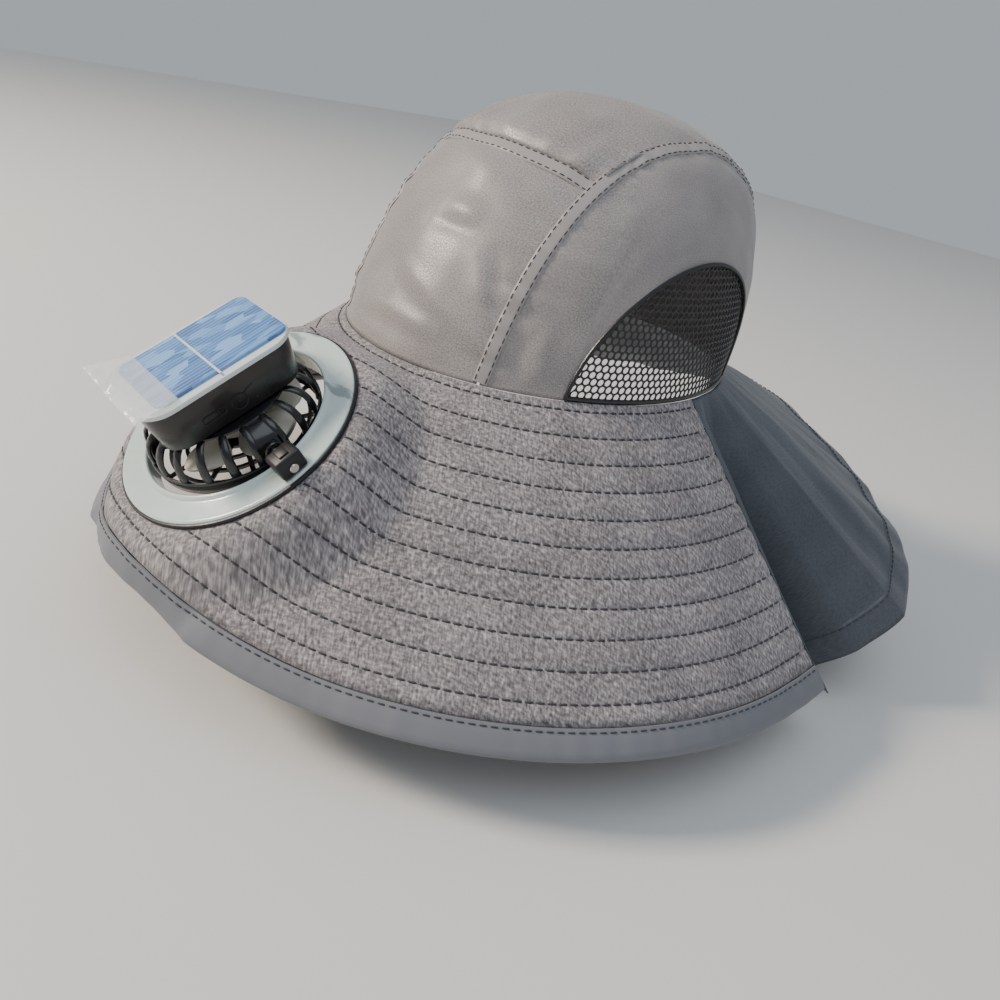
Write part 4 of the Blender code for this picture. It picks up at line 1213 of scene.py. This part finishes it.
def rounded_slab(length, width, low, high, corner, taper=1.0, soft_low=0.0, soft_high=0.0):
    """A slab with round upright corners, drawn in below, with soft lower and upper edges."""
    build = bmesh.new()
    levels = []
    for k in range(4):
        share = k / 3.0
        if soft_low:
            levels.append((low + soft_low * (1.0 - math.cos(share * math.pi / 2.0)), soft_low * (1.0 - math.sin(share * math.pi / 2.0))))
    if not soft_low:
        levels.append((low, 0.0))
    if soft_high:
        for k in range(4):
            share = k / 3.0
            levels.append((high - soft_high * (1.0 - math.sin(share * math.pi / 2.0)), soft_high * (1.0 - math.cos(share * math.pi / 2.0))))
    else:
        levels.append((high, 0.0))
    rings = []
    for z, inset in levels:
        scale = taper + (1.0 - taper) * (z - low) / (high - low)
        half_x, half_y = width / 2.0 * scale - inset, length / 2.0 * scale - inset
        r = max(corner * scale - inset, 0.1 * MM)
        ring = []
        for q, (sx, sy) in enumerate(((1, 1), (-1, 1), (-1, -1), (1, -1))):
            for k in range(9):
                turn = math.pi / 2.0 * (q + k / 8.0)
                ring.append(build.verts.new((sx * (half_x - r) + r * math.cos(turn), sy * (half_y - r) + r * math.sin(turn), z)))
        rings.append(ring)
    size = len(rings[0])
    for a, b in zip(rings, rings[1:]):
        for k in range(size):
            build.faces.new((a[k], a[(k + 1) % size], b[(k + 1) % size], b[k]))
    build.faces.new(rings[0][::-1])
    build.faces.new(rings[-1])
    bmesh.ops.translate(build, vec=(0.0, -BOX_OUTWARD, 0.0), verts=build.verts)
    return build


def mould_box(materials):
    """The solar box: a black case with a charging socket and a round button, under a pale plate with the cell."""
    bottom = CAGE_TOP + GAP
    top = bottom + BOX_HEIGHT
    place = fan_frame()

    def box_piece(name, build, material, replaced=()):
        return finish_piece(name, to_mesh(build, name, 35.0, place), materials[material], "fan_unit", replaced)

    case = rounded_slab(BOX_LENGTH, BOX_WIDTH, bottom, top, BOX_CORNER, BOX_TAPER, 1.0 * MM, 0.3 * MM)
    box_piece("case", case, "case", ("solar_housing",))
    plate_corner = BOX_CORNER + RIM_OVERHANG
    level = top + GAP + RIM_THICKNESS
    rim = rounded_slab(BOX_LENGTH + 2.0 * RIM_OVERHANG, BOX_WIDTH + 2.0 * RIM_OVERHANG, top, level, plate_corner,
                       1.0, 0.3 * MM, 0.5 * MM)
    box_piece("cell_plate", rim, "plate", ("solar_rim",))

    cell_end = 2.6 * MM
    cell = rounded_slab(BOX_LENGTH - 2.0 * CELL_INSET, BOX_WIDTH - 2.0 * CELL_INSET, level, level + CELL_THICKNESS,
                        4.0 * MM, 1.0, 0.0, 0.3 * MM)
    bmesh.ops.translate(cell, vec=(0.0, cell_end, 0.0), verts=cell.verts)
    layer = cell.loops.layers.uv.new("threads")
    for face in cell.faces:
        for loop in face.loops:
            loop[layer].uv = (loop.vert.co.x, loop.vert.co.y)
    box_piece("silicon", cell, "cell", ("solar_panel",))
    bus = bmesh.new()
    face = level + CELL_THICKNESS
    bar(bus, BOX_WIDTH - 1.2 * MM, 0.9 * MM, 0.16 * MM, (0.0, -BOX_OUTWARD, face + 0.05 * MM), 0.05 * MM, 1)
    box_piece("busbar", bus, "plate")

    height = top - SOCKET_DROP
    side_x = BOX_WIDTH / 2.0 * (BOX_TAPER + (1.0 - BOX_TAPER) * (height - bottom) / BOX_HEIGHT)
    lean = math.atan2(BOX_WIDTH / 2.0 * (1.0 - BOX_TAPER), BOX_HEIGHT)
    upright = Matrix.Rotation(lean, 4, "Y") @ Matrix.Rotation(math.pi / 2.0, 4, "Y") @ Matrix.Rotation(math.pi / 2.0, 4, "Z")
    port = bmesh.new()
    slot_part(port, 10.4 * MM, 3.4 * MM, 0.5 * MM, 0.35 * MM, Matrix.Translation((side_x, -SOCKET_OUTWARD, height)) @ upright)
    box_piece("charge_port", port, "black", ("usb_port",))

    button = bmesh.new()
    here = Matrix.Translation((side_x + 0.05 * MM, 0.9 * MM, height - 0.6 * MM)) @ upright
    part = bmesh.new()
    turned(part, mm_pairs([(2.9, -0.3), (3.5, -0.3), (3.45, 0.18), (3.2, 0.28), (2.95, 0.18)]), 64)
    turned(part, mm_pairs([(0.05, -0.3), (0.9, -0.3), (0.85, 0.12), (0.6, 0.2), (0.05, 0.2)]), 32)
    bmesh.ops.transform(part, matrix=here, verts=part.verts)
    join(button, part)
    tail = [(here @ (Vector((2.6 + 4.4 * k / 12.0, 2.2 + 1.3 * math.sin(math.pi * k / 20.0), 0.05)) * MM), here.to_3x3() @ UP)
            for k in range(13)]
    sweep(button, tail, lambda share: round_section(0.22 * MM, 6))
    light = bmesh.new()
    turned(light, mm_pairs([(0.03, -0.3), (0.6, -0.3), (0.55, 0.15), (0.3, 0.25), (0.03, 0.25)]), 24)
    bmesh.ops.transform(light, matrix=here @ Matrix.Translation((6.4 * MM, -2.4 * MM, 0.0)), verts=light.verts)
    join(button, light)
    box_piece("round_button", button, "black")
    lay_film(materials, face)


def slot_part(build, length, height, edge, out, turn):
    """A collar with a long round mouth."""
    part = bmesh.new()
    rings = []
    deep = -2.0 * MM
    for grow, level in ((0.0, -0.6 * MM), (0.0, out * 0.7), (-edge * 0.35, out), (-edge, out * 0.8), (-edge, deep)):
        half = height / 2.0 + grow
        straight = (length - height) / 2.0
        ring = []
        for k in range(24):
            t = 2.0 * math.pi * (k + 0.5) / 24.0
            shift = straight if math.cos(t) > 0 else -straight
            ring.append(part.verts.new((half * math.cos(t) + shift, half * math.sin(t), level)))
        rings.append(ring)
    for a, b in zip(rings, rings[1:]):
        for k in range(24):
            part.faces.new((a[k], a[(k + 1) % 24], b[(k + 1) % 24], b[k]))
    part.faces.new(rings[-1])
    part.faces.new(rings[0][::-1])
    bmesh.ops.transform(part, matrix=turn, verts=part.verts)
    join(build, part)


def lay_film(materials, face):
    """Clear film, lifted and crumpled at the plate's outer end, where it stands past the edge."""
    reach_x, reach_y = BOX_WIDTH / 2.0 + 2.6 * MM, BOX_LENGTH / 2.0 + 3.4 * MM

    def place(u, v):
        x = -reach_x + (reach_x * 2.0 - 3.0 * MM) * u
        y = -BOX_OUTWARD - reach_y + 17.0 * MM * v
        past = max(0.0, -(x + BOX_WIDTH / 2.0 - 3.0 * MM)) + max(0.0, -(y + BOX_LENGTH / 2.0 - 2.0 * MM))
        corner = max(0.0, 1.0 - math.hypot(x + reach_x, y + reach_y) / (19.0 * MM))
        crumple = noise.noise(Vector((x, y, 0.0)) * 260.0) * 0.9 + abs(noise.noise(Vector((x, y, 3.0)) * 110.0)) * 2.4
        lift = 0.25 * MM + (1.0 - v) ** 1.5 * crumple * MM * 0.8 + corner ** 1.4 * 6.5 * MM - past * 0.25
        return fan_frame() @ Vector((x, y, face + lift))

    shares = spread_evenly(0.0, 1.0, 60)
    mesh = cloth_sheet("clear_film", shares, spread_evenly(0.0, 1.0, 30), place, lambda u, v: (u * 0.04, v * 0.017))
    film = finish_piece("clear_film", mesh, materials["film"], body="fan_unit")
    wall(film, 0.08 * MM)


# Stage, light and camera

def set_camera():
    turn, rise, roll = CAMERA_TURN, CAMERA_RISE, CAMERA_ROLL
    back = Vector((math.sin(turn) * math.cos(rise), -math.cos(turn) * math.cos(rise), math.sin(rise)))
    right = Vector((math.cos(turn), math.sin(turn), 0.0))
    up = back.cross(right)
    target = right * CAMERA_ASIDE[0] + up * CAMERA_ASIDE[1]
    lens = bpy.data.cameras.new("camera")
    lens.sensor_width = SENSOR
    lens.lens = CAMERA_FOCUS * SENSOR
    lens.clip_start = 0.01
    camera = bpy.data.objects.new("camera", lens)
    right_rolled = right * math.cos(roll) + up * math.sin(roll)
    up_rolled = up * math.cos(roll) - right * math.sin(roll)
    place = Matrix((right_rolled, up_rolled, back)).transposed().to_4x4()
    place.translation = target + back * CAMERA_AWAY
    camera.matrix_world = place
    bpy.context.scene.collection.objects.link(camera)
    bpy.context.scene.camera = camera


def softbox(name, toward, away, size, power, colour, aim=Vector((0.0, -0.03, 0.0))):
    """A square soft light at a distance, aimed at the hat."""
    light = bpy.data.lights.new(name, "AREA")
    light.size = size
    light.energy = power
    light.color = linear(colour)[:3]
    lamp = bpy.data.objects.new(name, light)
    way = Vector(toward).normalized()
    lamp.location = aim + way * away
    lamp.rotation_euler = way.to_track_quat("Z", "Y").to_euler()
    bpy.context.scene.collection.objects.link(lamp)


def set_stage(lowest):
    floor_mesh = bpy.data.meshes.new("floor")
    half = 3.0
    level = lowest - 1.0 * MM
    floor_mesh.from_pydata([(-half, -half, level), (half, -half, level), (half, half, level), (-half, half, level)], [], [(0, 1, 2, 3)])
    floor = bpy.data.objects.new("floor", floor_mesh)
    material, tree, shader = new_material("pale_floor", roughness=0.9)
    shader.inputs["Base Color"].default_value = linear("#d9d8d5")
    floor_mesh.materials.append(material)
    bpy.context.scene.collection.objects.link(floor)
    world = bpy.data.worlds.new("studio")
    world.use_nodes = True
    world.node_tree.nodes["Background"].inputs["Color"].default_value = linear("#dfe6ee")
    world.node_tree.nodes["Background"].inputs["Strength"].default_value = 0.55
    bpy.context.scene.world = world
    softbox("sun_side", (-0.55, -0.75, 0.62), 2.2, 0.5, 62.0, "#fff1e0")
    softbox("sky", (0.35, -0.2, 0.95), 2.4, 2.0, 22.0, "#e6eefb")


def main():
    materials = {
        "heather": heather_polyester(),
        "nylon": crisp_nylon("crown_nylon", "#6f6a6a", "#a19b98", 0.42),
        "seam": crisp_nylon("seam_nylon", "#757070", "#a8a29f", 0.45, 0.0002),
        # The flap's dark blue-grey is painted shade: the flap is one nylon with its sunlit front edge, darkened here
        # for lying in the crown's shadow and facing away from the light.
        "flap": crisp_nylon("flap_nylon_painted_shade", "#33383f", "#4b5159", 0.45, 0.0003),
        "tape": crisp_nylon("tape_nylon", "#585a60", "#7b7d83", 0.6, 0.0001),
        "net": net_yarn(),
        "dark_thread": sewing_thread("dark_thread", "#35363b"),
        # The ring's pale grey-green is a painted reflection of the bright sky on glossy black plastic; its darker
        # patches are partly smudges and partly painted reflections and shadows.
        "ring": moulded_plastic("ring_plastic_painted_sky_reflection", "#c3d2ce", 0.22, 0.0, 0.4, "#8d9a98"),
        "black": moulded_plastic("block_abs", "#17171a", 0.4, 0.3),
        "gloss_black": moulded_plastic("cage_abs", "#101013", 0.22, 0.0, 0.3),
        "case": moulded_plastic("case_abs", "#1d1a19", 0.3, 0.15, 0.2),
        "cream": moulded_plastic("rotor_abs", "#d9d4c4", 0.35),
        "plate": moulded_plastic("plate_laminate", "#d5dadb", 0.3, 0.0, 0.4),
        "steel": nickel_plate(),
        "cell": silicon_cell(),
        "film": clear_film(),
    }
    sew_crown(materials)
    sew_seams(materials)
    knit_net(materials)
    quilt_brim(materials)
    bind_brim(materials)
    hang_flap(materials)
    mould_ring(materials)
    mould_blocks(materials)
    mould_cage(materials)
    mould_rotor(materials)
    mould_box(materials)
    for name, material in (("fan_motor", "black"),):
        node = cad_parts[name]
        node.data.materials.clear()
        node.data.materials.append(materials[material])
    set_camera()
    set_stage(SOLID_BOX[0][2])


main()
